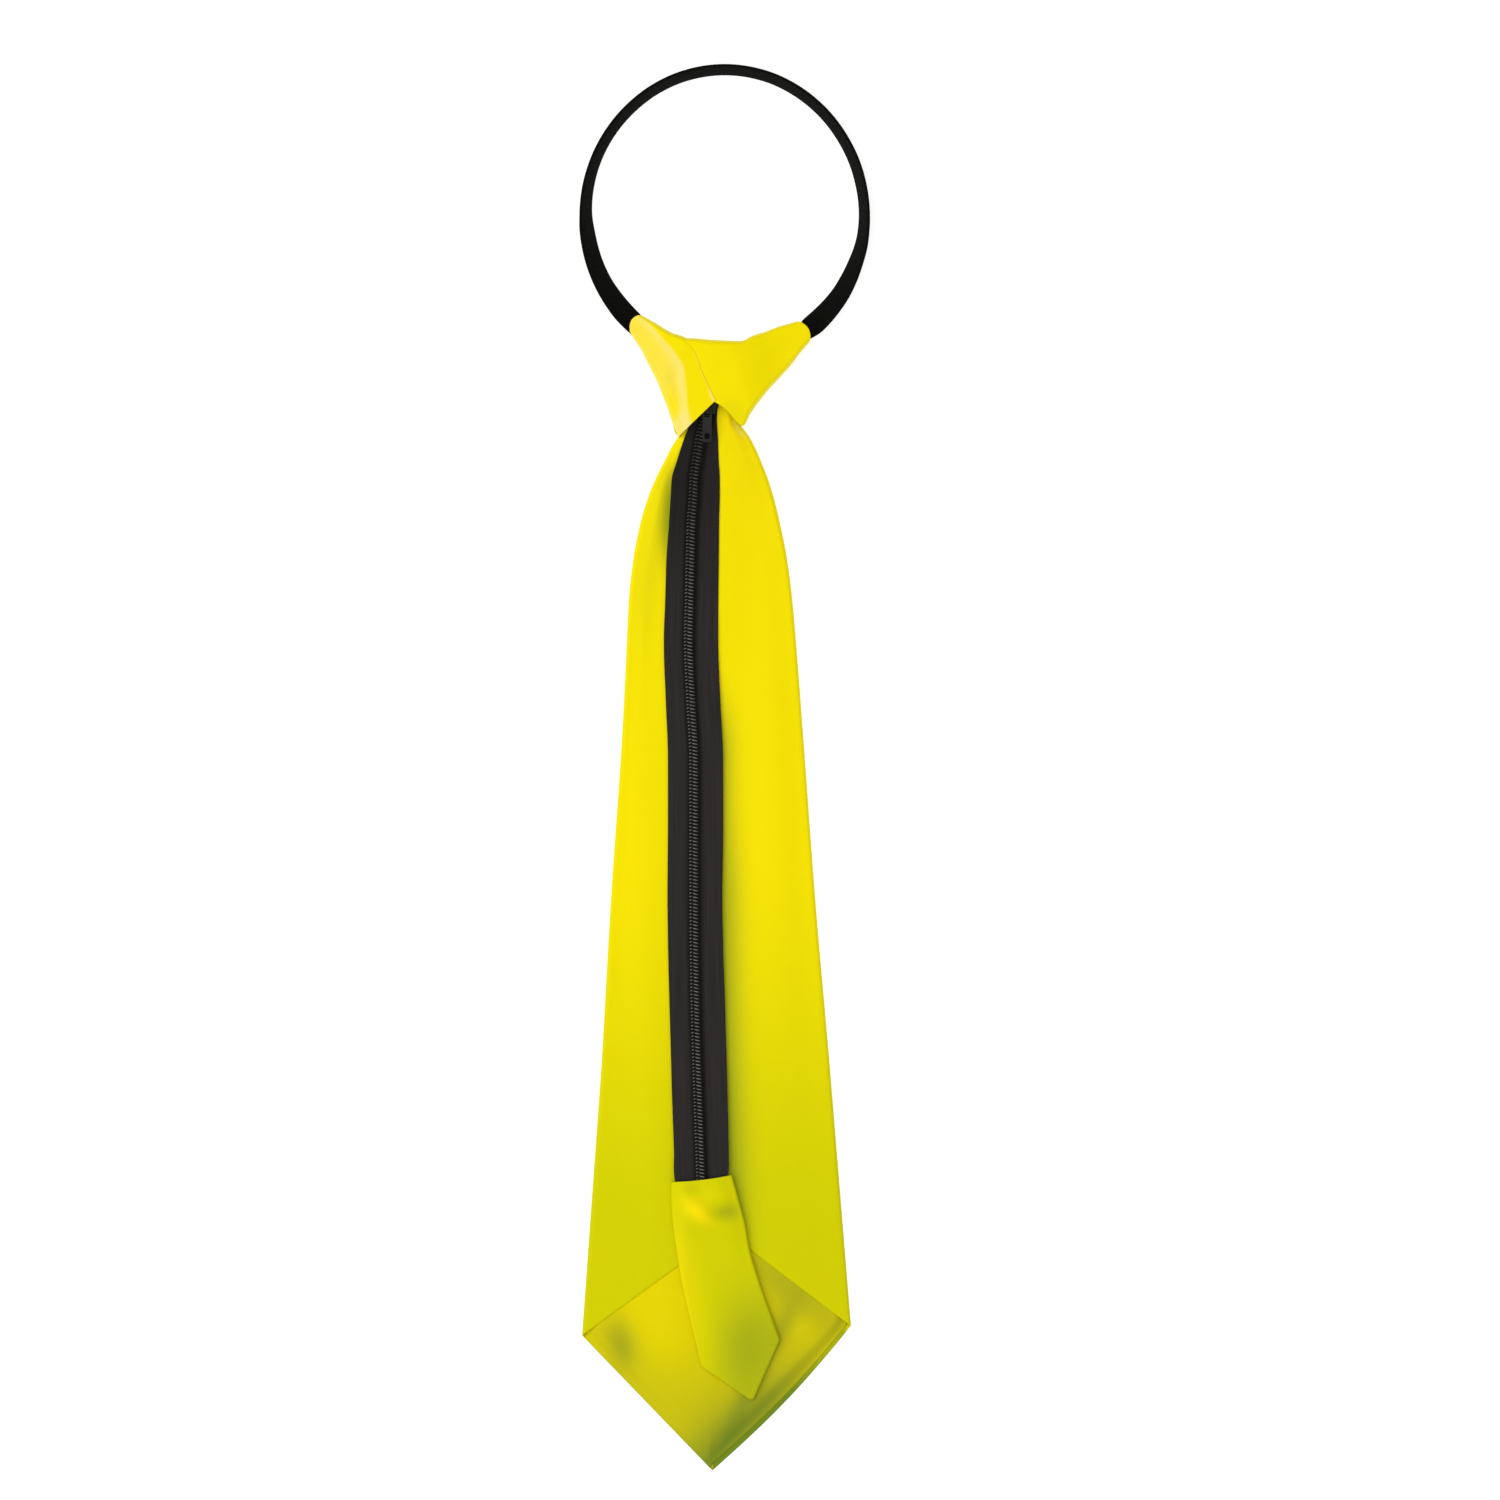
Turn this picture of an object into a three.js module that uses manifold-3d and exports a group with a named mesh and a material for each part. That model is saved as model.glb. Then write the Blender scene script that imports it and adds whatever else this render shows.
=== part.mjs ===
// A zip neck tie in yellow satin with a black elastic neck loop, lying on its front.
// Millimetres. X runs across the tie, Y runs from the tip of the blade to the neck loop,
// Z runs up from the surface it lies on, so the back of the tie faces up.

import * as THREE from 'three';
import { mergeVertices } from 'three/addons/utils/BufferGeometryUtils.js';
import Module from 'manifold-3d';

// Driving dimensions of the cloth
const GAP = 0.3;
const BLADE_WALL = 1.0;
const BLADE_HOLLOW = 1.6;
const KNOT_WALL = 1.4;
const TAIL_WALL = 1.0;
const TIPPING_THICK = 1.0;
const TIPPING_UNDER_FLAPS = 34;
const HEM_THICK = 2.4;
const HEM_LEFT = 1.4;
const HEM_RIGHT = 2.8;

// Driving dimensions of the zip
const TAPE_THICK = 1.0;
const COIL_WIDE = 2.0;
const COIL_HIGH = 1.2;
const COIL_SEAT = 0.38;
const SLIDER_X = -7.4;
const SLIDER_LOW_Y = 151.2;
const SLIDER_PLATE = 0.9;
const SLIDER_BASE_Z = 9.7;
const BRIDGE_WIDE = 1.2;
const BRIDGE_WALL = 0.9;
const BRIDGE_RISE = 1.9;
const BRIDGE_REACH_LOW = 1.9;
const BRIDGE_REACH_HIGH = 2.7;
const PULL_WIDE = 4.1;
const PULL_THICK = 1.0;
const PULL_LENGTH = 14.2;
const PULL_SLOT_WIDE = 2.1;
const PULL_SLOT_END = 3.3;
const PULL_HOLE = 2.3;
const PULL_HOLE_FROM_END = 2.6;
const PULL_REST_TILT = 5;
const HINGE_Y = 153.3;
const HINGE_Z = 15.8;

// Driving dimensions of the neck loop
const BAND_WIDE = 12;
const BAND_THICK = 1.2;
const LOOP_CENTRE_Y = 238.4;
const BAND_STEPS = 100;

// Turns rows of numbers into objects with the named columns
function table(columns, rows) {
  return rows.map((row) => Object.fromEntries(columns.map((name, k) => [name, row[k]])));
}

// The folded blade, from inside the knot down to the corners of the point. The edge column
// is how far the round of each side reaches in.
const BLADE = table(['y', 'left', 'right', 'base', 'height', 'edge'], [
  [163.0, -15.5, 3.0, 2.4, 7.0, 6.0],
  [147.5, -17.6, 4.4, 2.4, 7.0, 6.0],
  [145.4, -18.0, 5.2, 2.4, 7.0, 6.0],
  [144.2, -18.3, 7.8, 2.4, 7.0, 6.5],
  [141.7, -19.0, 10.4, 2.4, 7.0, 7.0],
  [139.5, -21.6, 11.8, 2.2, 6.8, 7.0],
  [136.0, -23.5, 13.7, 2.0, 6.7, 7.0],
  [131.8, -25.6, 15.5, 1.6, 6.4, 7.0],
  [123.2, -29.9, 18.9, 0.8, 5.8, 6.0],
  [114.6, -33.3, 21.5, 0.3, 5.2, 5.0],
  [106.0, -35.9, 23.6, 0.0, 4.8, 4.0],
  [88.8, -39.3, 27.0, 0.0, 4.2, 3.0],
  [71.6, -41.2, 29.2, 0.0, 3.8, 2.2],
  [45.8, -42.4, 31.4, 0.0, 3.6, 1.8],
  [11.4, -44.2, 34.0, 0.0, 3.6, 1.8],
  [-57.4, -48.9, 39.1, 0.0, 3.6, 1.8],
  [-126.2, -52.8, 45.1, 0.0, 3.6, 1.8],
  [-186.4, -57.4, 50.0, 0.0, 3.6, 1.8],
  [-241.0, -61.3, 54.4, 0.0, 3.6, 1.8],
  [-303.0, -66.0, 59.4, 0.0, 3.6, 1.8],
]);

// The point of the blade, and where the free edges of the two back flaps cross
const POINT_LEFT = new THREE.Vector2(-61.5, -245.0);
const POINT_RIGHT = new THREE.Vector2(54.6, -240.6);
const POINT_TIP = new THREE.Vector2(-5.2, -301.6);
const FLAPS_CROSS = new THREE.Vector2(0.6, -199.7);

// How far the right edge of the point stands out past the straight line between its ends
const POINT_BULGE = 2.1;
const POINT_STEPS = 6;

// The knot from its left ear to its right ear. Each row crosses it from a point on the top
// edge to a point on the side or the mouth, and raise lifts the wrap that lies on top.
const KNOT = table(['topX', 'topY', 'lowX', 'lowY', 'height', 'topEdge', 'lowEdge', 'raise'], [
  [-35.5, 194.2, -41.4, 185.2, 15.6, 1.8, 1.8, 0.0],
  [-30.6, 191.3, -38.0, 181.0, 15.8, 2.4, 2.4, 0.3],
  [-23.4, 187.0, -33.3, 173.6, 16.6, 4.5, 4.5, 1.2],
  [-17.0, 184.2, -29.2, 165.6, 17.4, 5.5, 6.0, 1.7],
  [-11.0, 183.2, -24.6, 154.0, 18.4, 6.0, 6.0, 1.7],
  [-7.5, 183.0, -20.6, 141.7, 19.0, 6.0, 1.6, 1.7],
  [-1.0, 182.8, -6.5, 143.8, 19.0, 6.0, 1.6, 1.7],
  [5.0, 182.6, 7.6, 146.0, 19.0, 6.0, 1.6, 1.7],
  [9.5, 183.6, 14.4, 156.3, 18.4, 6.0, 5.0, 1.2],
  [15.5, 186.0, 22.8, 166.6, 17.2, 5.0, 5.0, 0.6],
  [25.0, 189.4, 30.9, 176.6, 16.2, 3.0, 3.0, 0.2],
  [33.2, 192.3, 38.1, 182.6, 15.6, 1.8, 1.8, 0.0],
]);
const KNOT_SEAM_Z = 8.0;

// The edge of the left wrap, which lies over the right wrap, with how far the right wrap
// runs on underneath it
const RIDGE = table(['x', 'y', 'tuck'], [
  [-17.5, 196.0, 0.0],
  [-13.6, 179.1, 0.0],
  [-12.0, 175.4, 0.0],
  [-11.8, 174.9, 4.0],
  [-10.5, 171.4, 4.0],
  [-7.2, 163.5, 2.5],
  [-4.1, 157.4, 0.0],
]);

// The notch in the back of the knot that the zip comes out of
const NOTCH = table(['x', 'y'], [
  [-20.8, 141.5],
  [-14.8, 146.8],
  [-7.1, 153.3],
  [-4.1, 157.4],
  [-2.8, 156.4],
  [4.4, 150.1],
  [7.9, 145.9],
]);

// The closed zip from inside the tail to the slider: its middle, how far each tape reaches
// from it, the height of the tapes and how far their outer edges stand up
const ZIP_COLUMNS = ['y', 'middle', 'left', 'right', 'z', 'leftLift', 'rightLift', 'parted'];
const ZIP = table(ZIP_COLUMNS, [
  [-192.9, -9.6, 10.6, 10.6, 5.2, 0.0, 0.0, 0.0],
  [-178.7, -9.8, 10.6, 10.6, 5.25, 0.0, 0.0, 0.0],
  [-175.5, -9.9, 12.0, 10.6, 5.2, 0.0, 0.0, 0.0],
  [-172.5, -10.0, 12.1, 11.6, 5.0, 0.0, 0.2, 0.0],
  [-166.0, -10.2, 11.8, 11.6, 4.2, 0.0, 0.6, 0.0],
  [-143.4, -11.0, 12.0, 11.6, 3.9, 0.0, 1.6, 0.0],
  [-100.4, -12.3, 12.0, 11.9, 3.9, 0.0, 2.0, 0.0],
  [-57.4, -12.8, 11.7, 11.6, 3.9, 0.0, 2.2, 0.0],
  [2.8, -12.9, 11.7, 11.8, 3.9, 0.0, 2.0, 0.0],
  [28.6, -14.2, 11.4, 11.8, 3.9, 0.0, 1.2, 0.0],
  [54.4, -15.2, 11.3, 11.9, 4.1, 0.2, 0.3, 0.0],
  [71.6, -14.8, 10.9, 11.9, 4.3, 0.4, 0.0, 0.0],
  [88.8, -14.4, 10.8, 11.6, 4.8, 0.8, 0.0, 0.0],
  [106.0, -13.9, 10.1, 11.2, 5.4, 1.8, 0.0, 0.0],
  [114.6, -13.2, 9.8, 10.8, 6.0, 2.4, 0.0, 0.0],
  [123.2, -12.8, 9.9, 10.4, 7.1, 2.2, 0.0, 0.0],
  [131.8, -11.6, 8.8, 8.8, 8.5, 1.4, 0.0, 0.0],
  [141.7, -10.0, 7.0, 7.2, 10.2, 0.5, 0.0, 0.0],
  [147.5, -8.4, 6.2, 5.2, 10.7, 0.2, 0.0, 0.0],
  [150.5, -7.6, 5.6, 4.4, 10.9, 0.0, 0.0, 0.0],
  [152.5, -7.4, 5.4, 4.3, 10.9, 0.0, 0.0, 0.0],
  [156.5, -7.4, 6.0, 5.4, 10.9, 0.0, 0.0, 1.1],
  [160.2, -7.4, 6.2, 6.0, 10.9, 0.0, 0.0, 1.2],
]);

// The slider's plates, the channel for the teeth between its flanges and the wedge that parts
// them: half widths along the slider from its lower end
const SLIDER_PLATES = table(['along', 'half'], [[0, 3.3], [5.3, 4.4], [7.0, 4.4], [8.5, 2.4]]);
const SLIDER_CHANNEL = table(['along', 'half'], [[-1, 2.6], [0, 2.7], [5.3, 3.75], [10, 3.75]]);
const SLIDER_WEDGE = table(['along', 'half'], [[4.1, 0.05], [5.6, 0.85], [7.4, 0.85], [8.4, 0.05]]);

// The two tapes inside the knot, from the slider to the ends of the elastic band
const TAPE_END_COLUMNS = ['innerX', 'innerY', 'innerZ', 'outerX', 'outerY', 'outerZ'];
const LEFT_TAPE_END = table(TAPE_END_COLUMNS, [
  [-10.5, 165.0, 9.5, -16.5, 164.0, 12.5],
  [-15.0, 171.5, 7.0, -21.0, 169.5, 13.0],
  [-22.0, 177.5, 5.0, -25.5, 174.8, 12.8],
  [-28.3, 184.0, 4.0, -29.6, 181.0, 12.5],
]);
const RIGHT_TAPE_END = table(TAPE_END_COLUMNS, [
  [-4.0, 165.0, 9.5, 1.4, 163.6, 12.5],
  [2.5, 171.5, 7.0, 7.5, 169.0, 13.0],
  [12.5, 177.5, 5.0, 14.8, 174.8, 12.8],
  [26.6, 183.6, 4.0, 27.6, 180.6, 12.5],
]);

// The tail, a flat pointed envelope over the lower end of the zip
const TAIL_BASE_Z = 3.9;
const TAIL = table(['leftX', 'leftY', 'rightX', 'rightY', 'height', 'edge'], [
  [-22.6, -178.4, 2.8, -175.0, 5.6, 2.0],
  [-22.6, -184.0, 4.9, -184.0, 5.6, 2.0],
  [-22.0, -195.0, 8.4, -197.2, 5.4, 2.0],
  [-20.9, -203.6, 10.1, -207.0, 3.9, 1.8],
  [-18.3, -220.8, 14.2, -220.8, 3.2, 1.6],
  [-14.4, -238.0, 19.8, -236.5, 3.2, 1.6],
  [-9.7, -257.8, 23.4, -246.6, 3.0, 1.5],
  [10.9, -271.9, 12.5, -271.9, 2.6, 0.7],
]);

// The elastic band round the neck: angle about the middle of the loop, radius of its middle,
// how wide it looks from above, and the height of its lower edge
const BAND = table(['angle', 'radius', 'seen', 'base'], [
  [-61, 62.6, 6.8, 2.5],
  [-56, 62.3, 6.7, 2.5],
  [-53.8, 62.1, 6.8, 2.5],
  [-51, 61.7, 8.5, 1.9],
  [-47, 61.5, 8.6, 1.4],
  [-41, 61.2, 8.0, 0.8],
  [-34, 60.9, 7.3, 0.2],
  [-22, 60.5, 6.3, 0.0],
  [-8, 60.4, 4.8, 0.0],
  [4, 60.0, 4.4, 0.0],
  [28, 59.8, 4.4, 0.0],
  [60, 60.9, 4.4, 0.0],
  [90, 61.2, 4.4, 0.0],
  [120, 60.9, 4.4, 0.0],
  [152, 59.8, 4.4, 0.0],
  [168, 59.8, 4.8, 0.0],
  [180, 59.6, 5.2, 0.0],
  [192, 59.7, 6.4, 0.0],
  [201, 60.0, 7.0, 0.0],
  [210, 60.4, 7.5, 0.2],
  [219, 60.9, 8.3, 0.8],
  [225, 61.2, 8.6, 1.4],
  [228.5, 61.6, 8.5, 1.9],
  [231.4, 62.1, 6.6, 2.5],
  [234, 62.3, 6.6, 2.5],
  [240, 62.6, 6.8, 2.5],
]);

const QUARTER_STEPS = 4;
const HIGH = 40;

// Solid geometry helpers
const wasm = await Module();
wasm.setup();

// A closed geometry as a solid that can be joined and cut
function solid(geometry) {
  const bare = geometry.clone();
  bare.deleteAttribute('normal');
  bare.deleteAttribute('uv');
  const merged = mergeVertices(bare, 1e-5);
  return new wasm.Manifold(new wasm.Mesh({
    numProp: 3,
    vertProperties: new Float32Array(merged.attributes.position.array),
    triVerts: new Uint32Array(merged.index.array),
  }));
}

// A solid back as a geometry
function geometryOf(manifold) {
  const mesh = manifold.getMesh();
  const geometry = new THREE.BufferGeometry();
  geometry.setAttribute('position', new THREE.BufferAttribute(mesh.vertProperties, 3));
  geometry.setIndex(new THREE.BufferAttribute(mesh.triVerts, 1));
  geometry.computeVertexNormals();
  return geometry;
}

// Six times the volume that the faces enclose, negative when they point inwards
function signedVolume(points, faces) {
  return faces.reduce((sum, [a, b, c]) => {
    const across = points[b].clone().cross(points[c]);
    return sum + points[a].dot(across);
  }, 0);
}

// One closed body through a row of convex sections that all have the same number of points
function loft(sections) {
  const count = sections[0].length;
  const points = sections.flat();
  const last = points.length - count;
  const faces = [];
  for (let i = 0; i < sections.length - 1; i += 1) {
    for (let j = 0; j < count; j += 1) {
      const a = i * count + j;
      const b = i * count + ((j + 1) % count);
      faces.push([a, b, b + count], [a, b + count, a + count]);
    }
  }
  for (let j = 1; j < count - 1; j += 1) {
    faces.push([j + 1, j, 0], [last, last + j, last + j + 1]);
  }
  const outward = signedVolume(points, faces) > 0;
  const geometry = new THREE.BufferGeometry();
  geometry.setAttribute('position', new THREE.Float32BufferAttribute(
    points.flatMap((p) => [p.x, p.y, p.z]), 3));
  geometry.setIndex(faces.flatMap(([a, b, c]) => (outward ? [a, b, c] : [a, c, b])));
  geometry.computeVertexNormals();
  return geometry;
}

// The sections with one more past each end, so that a hollow cuts through both ends
function pastEnds(sections, share) {
  const beyond = (near, next) => near.map((p, k) => p.clone().lerp(next[k], -share));
  const first = beyond(sections[0], sections[1]);
  const final = beyond(sections.at(-1), sections.at(-2));
  return [first, ...sections, final];
}

// The section of a flat folded form with round sides, across the line from one point of the
// plan to another. The inset makes the section of its hollow.
function foldedSection(from, to, base, height, edges, inset = 0) {
  const along = to.clone().sub(from);
  const length = along.length();
  along.normalize();
  const middle = base + height / 2;
  const half = height / 2 - inset;
  const [fromEdge, toEdge] = edges.map((edge) => Math.max(edge - inset, 0.3));
  const steps = Array.from({ length: QUARTER_STEPS + 1 }, (_, k) => (k / QUARTER_STEPS) * (Math.PI / 2));
  const near = (a) => inset + fromEdge * (1 - Math.cos(a));
  const far = (a) => length - inset - toEdge * (1 - Math.cos(a));
  const place = (distance, z) => new THREE.Vector3(
    from.x + along.x * distance, from.y + along.y * distance, z);
  const inner = steps.slice(1);
  return [
    ...steps.map((a) => place(near(a), middle + half * Math.sin(a))),
    ...[...steps].reverse().map((a) => place(far(a), middle + half * Math.sin(a))),
    ...inner.map((a) => place(far(a), middle - half * Math.sin(a))),
    ...[...inner].reverse().map((a) => place(near(a), middle - half * Math.sin(a))),
  ];
}

// An upright block over an outline of the plan
function prism(outline, low, high) {
  const shape = new THREE.Shape(outline.map((p) => new THREE.Vector2(p.x, p.y)));
  const geometry = new THREE.ExtrudeGeometry(shape, { depth: high - low, bevelEnabled: false });
  return geometry.translate(0, 0, low);
}

function box(wide, deep, high, x, y, z) {
  return new THREE.BoxGeometry(wide, deep, high).translate(x, y, z);
}

// The value of one column of a table at a place between its rows
function between(rows, key, at, column) {
  const next = Math.max(1, rows.findIndex((row) => row[key] >= at));
  const [a, b] = [rows[next - 1], rows[next]];
  return THREE.MathUtils.mapLinear(at, a[key], b[key], a[column], b[column]);
}

// The point on the line through a and b at the given x
function onLine(a, b, x) {
  return new THREE.Vector2(x, THREE.MathUtils.mapLinear(x, a.x, b.x, a.y, b.y));
}

// The two edges of the point of the blade, moved inwards by the width of the hem
function pointOutline(insetLeft, insetRight) {
  const shifted = (a, b, inset) => {
    const along = b.clone().sub(a).normalize();
    const inwards = new THREE.Vector2(-along.y, along.x).multiplyScalar(inset);
    return [a.clone().add(inwards), b.clone().add(inwards)];
  };
  const [leftTop, leftTip] = shifted(POINT_LEFT, POINT_TIP, insetLeft);
  const [rightTip, rightTop] = shifted(POINT_TIP, POINT_RIGHT, insetRight);
  const leftSlope = (leftTip.y - leftTop.y) / (leftTip.x - leftTop.x);
  const rightSlope = (rightTip.y - rightTop.y) / (rightTip.x - rightTop.x);
  const tipX = (leftTop.y - rightTop.y + rightSlope * rightTop.x - leftSlope * leftTop.x)
    / (rightSlope - leftSlope);
  const tip = onLine(leftTop, leftTip, tipX);
  const outwards = new THREE.Vector2(1, -1 / rightSlope).normalize();
  const right = (x) => {
    const share = THREE.MathUtils.clamp((x - tip.x) / (rightTop.x - tip.x), 0, 1);
    const bulge = POINT_BULGE * Math.sin(Math.PI * share);
    return onLine(rightTop, rightTip, x).addScaledVector(outwards, bulge);
  };
  return {
    tip,
    left: (x) => onLine(leftTop, leftTip, x),
    right,
    rightEdge: (end) => Array.from({ length: POINT_STEPS }, (_, k) => (
      right(THREE.MathUtils.lerp(tip.x, end, (k + 1) / POINT_STEPS)))),
  };
}

// Everything below the free edges of the two back flaps
function windowOutline() {
  const wide = 80;
  const low = -330;
  return [
    FLAPS_CROSS,
    onLine(FLAPS_CROSS, POINT_LEFT, -wide),
    new THREE.Vector2(-wide, low),
    new THREE.Vector2(wide, low),
    onLine(FLAPS_CROSS, POINT_RIGHT, wide),
  ];
}

function bladeSections(inset) {
  return BLADE.map((row) => foldedSection(
    new THREE.Vector2(row.left, row.y), new THREE.Vector2(row.right, row.y),
    row.base, row.height, [row.edge, row.edge], inset));
}

// The blade: a front wall, round sides and two flaps folded to the back, with an open point
function bladeGeometry() {
  const wide = 90;
  const whole = pointOutline(0, 0);
  const outline = [
    new THREE.Vector2(-wide, 200),
    whole.left(-wide),
    whole.tip,
    ...whole.rightEdge(POINT_RIGHT.x),
    whole.right(wide),
    new THREE.Vector2(wide, 200),
  ];
  const inner = pointOutline(HEM_LEFT, HEM_RIGHT);
  const cornerLeft = -56.5;
  const cornerRight = 48.5;
  const underFlaps = new THREE.Vector2(0, 3);
  const hollowPoint = [
    FLAPS_CROSS.clone().add(underFlaps),
    onLine(FLAPS_CROSS, POINT_LEFT, cornerLeft).add(underFlaps),
    inner.left(cornerLeft),
    inner.tip,
    ...inner.rightEdge(cornerRight),
    onLine(FLAPS_CROSS, POINT_RIGHT, cornerRight).add(underFlaps),
  ];
  const open = windowOutline();
  const hollow = solid(loft(pastEnds(bladeSections(BLADE_WALL), 0.2)))
    .subtract(solid(prism(open, -1, HIGH)));
  const folded = solid(loft(bladeSections(0)))
    .intersect(solid(prism(outline, -1, HIGH)))
    .subtract(hollow)
    .subtract(solid(prism(open, HEM_THICK, HIGH)))
    .subtract(solid(prism(hollowPoint, BLADE_WALL, BLADE_WALL + BLADE_HOLLOW - 0.1)));
  return geometryOf(folded);
}

// The tipping, the lining that shows inside the open point
function tippingGeometry() {
  const inner = pointOutline(HEM_LEFT + GAP, HEM_RIGHT + GAP);
  const left = -55.5;
  const right = 47.5;
  const top = FLAPS_CROSS.y + TIPPING_UNDER_FLAPS;
  const narrow = 3.5;
  const outline = [
    new THREE.Vector2(left + narrow, top),
    onLine(FLAPS_CROSS, POINT_LEFT, left),
    inner.left(left),
    inner.tip,
    ...inner.rightEdge(right),
    onLine(FLAPS_CROSS, POINT_RIGHT, right),
    new THREE.Vector2(right - narrow, top),
  ];
  const low = BLADE_WALL + GAP;
  return prism(outline, low, low + TIPPING_THICK);
}

function knotSections(inset, raised) {
  return KNOT.map((row) => foldedSection(
    new THREE.Vector2(row.topX, row.topY), new THREE.Vector2(row.lowX, row.lowY),
    0, row.height + raised * row.raise, [row.topEdge, row.lowEdge], inset));
}

// The hollow shell of the knot, open at both ears and at the mouth
function knotShell(raised) {
  const mouth = [
    new THREE.Vector2(-19.3, 144.9),
    new THREE.Vector2(-19.3, 130),
    new THREE.Vector2(6.6, 130),
    new THREE.Vector2(6.6, 149.2),
  ];
  const rise = Math.max(...KNOT.map((row) => row.height + raised * row.raise));
  return solid(loft(knotSections(0, raised)))
    .subtract(solid(loft(pastEnds(knotSections(KNOT_WALL, raised), 0.4))))
    .subtract(solid(prism(mouth, KNOT_WALL, rise - KNOT_WALL)));
}

function knotFrontGeometry() {
  const low = box(200, 200, 20, 0, 170, KNOT_SEAM_Z - GAP / 2 - 10);
  return geometryOf(knotShell(0).intersect(solid(low)));
}

// One of the two wraps on the back of the knot, cut from the shell along the ridge
function knotBackGeometry(side) {
  const seam = KNOT_SEAM_Z + GAP / 2;
  const notch = [
    new THREE.Vector2(-24, 130),
    ...NOTCH.map((p) => new THREE.Vector2(p.x, p.y)),
    new THREE.Vector2(12, 130),
  ];
  const edge = RIDGE.map((p) => new THREE.Vector2(side < 0 ? p.x : p.x - p.tuck + GAP, p.y));
  const reach = 70 * side;
  const region = [
    new THREE.Vector2(reach, 210),
    new THREE.Vector2(edge[0].x, 210),
    ...edge,
    new THREE.Vector2(edge.at(-1).x, 130),
    new THREE.Vector2(reach, 130),
  ];
  return geometryOf(knotShell(side < 0 ? 1 : 0)
    .intersect(solid(prism(region, seam, HIGH)))
    .subtract(solid(prism(notch, seam - 1, HIGH))));
}

// A flat ribbon between an inner and an outer edge, thickened to one side
function ribbon(rows, thick) {
  let facing = new THREE.Vector3(0, 0, 1);
  return loft(rows.map((row, k) => {
    const before = rows[Math.max(k - 1, 0)];
    const after = rows[Math.min(k + 1, rows.length - 1)];
    const along = after.inner.clone().add(after.outer).sub(before.inner).sub(before.outer);
    const normal = along.cross(row.outer.clone().sub(row.inner)).normalize();
    if (normal.dot(facing) < 0) normal.negate();
    facing = normal;
    const up = normal.clone().multiplyScalar(thick);
    return [row.inner, row.outer, row.outer.clone().add(up), row.inner.clone().add(up)];
  }));
}

// One tape of the zip, from the tail through the slider and on inside the knot
function tapeGeometry(side) {
  const slit = 0.3;
  const closed = ZIP.map((row) => {
    const reach = side < 0 ? row.left : row.right;
    const lift = side < 0 ? row.leftLift : row.rightLift;
    return {
      inner: new THREE.Vector3(row.middle + side * (slit + row.parted), row.y, row.z),
      outer: new THREE.Vector3(row.middle + side * reach, row.y, row.z + lift),
    };
  });
  const hidden = (side < 0 ? LEFT_TAPE_END : RIGHT_TAPE_END).map((row) => ({
    inner: new THREE.Vector3(row.innerX, row.innerY, row.innerZ),
    outer: new THREE.Vector3(row.outerX, row.outerY, row.outerZ),
  }));
  return ribbon([...closed, ...hidden], TAPE_THICK);
}

// One row of coil teeth as a plain six-sided ridge on the inner edge of its tape
function coilGeometry(side) {
  const corners = Array.from({ length: 6 }, (_, k) => (k / 6) * Math.PI * 2);
  return loft(ZIP.map((row) => {
    const [reach, lift] = side < 0 ? [row.left, row.leftLift] : [row.right, row.rightLift];
    const x = row.middle + side * (GAP + row.parted + COIL_WIDE / 2);
    const z = row.z + TAPE_THICK + COIL_SEAT + COIL_HIGH / 2 + (lift * COIL_WIDE) / reach;
    return corners.map((a) => new THREE.Vector3(
      x + (COIL_WIDE / 2) * Math.cos(a), row.y, z + (COIL_HIGH / 2) * Math.sin(a) / Math.sin(Math.PI / 3)));
  }));
}

// An outline of the slider, the same on both sides of its middle, from half widths along it
function sliderOutline(halves) {
  const side = (sign) => halves.map((row) => new THREE.Vector2(
    SLIDER_X + sign * row.half, SLIDER_LOW_Y + row.along));
  return [...side(1), ...side(-1).reverse()];
}

// The slider body: two plates joined by a wedge, side flanges and the bridge for the pull
function sliderGeometry() {
  const outline = sliderOutline(SLIDER_PLATES);
  const channel = sliderOutline(SLIDER_CHANNEL);
  const wedge = sliderOutline(SLIDER_WEDGE);
  const tapeSlotTop = SLIDER_BASE_Z + 2.5;
  const topPlate = SLIDER_BASE_Z + 4.1;
  const top = topPlate + SLIDER_PLATE;
  const flanges = solid(prism(outline, tapeSlotTop, topPlate))
    .subtract(solid(prism(channel, tapeSlotTop - 1, topPlate + 1)));
  const sunk = 0.3;
  const bridge = solid(bridgeBlock(0, top - sunk)).subtract(solid(bridgeBlock(BRIDGE_WALL, top)));
  const body = solid(prism(outline, SLIDER_BASE_Z, SLIDER_BASE_Z + SLIDER_PLATE))
    .add(solid(prism(outline, topPlate, top)))
    .add(solid(prism(wedge, SLIDER_BASE_Z + sunk, topPlate + sunk)))
    .add(flanges)
    .add(bridge);
  return geometryOf(body);
}

// The block of the slider's bridge, or of the space under it when an inset is given
function bridgeBlock(inset, low) {
  const near = HINGE_Y - BRIDGE_REACH_LOW + inset;
  const far = HINGE_Y + BRIDGE_REACH_HIGH - inset;
  const top = HINGE_Z + BRIDGE_RISE - inset;
  return box(BRIDGE_WIDE + inset, far - near, top - low, SLIDER_X, (near + far) / 2, (top + low) / 2);
}

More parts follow.
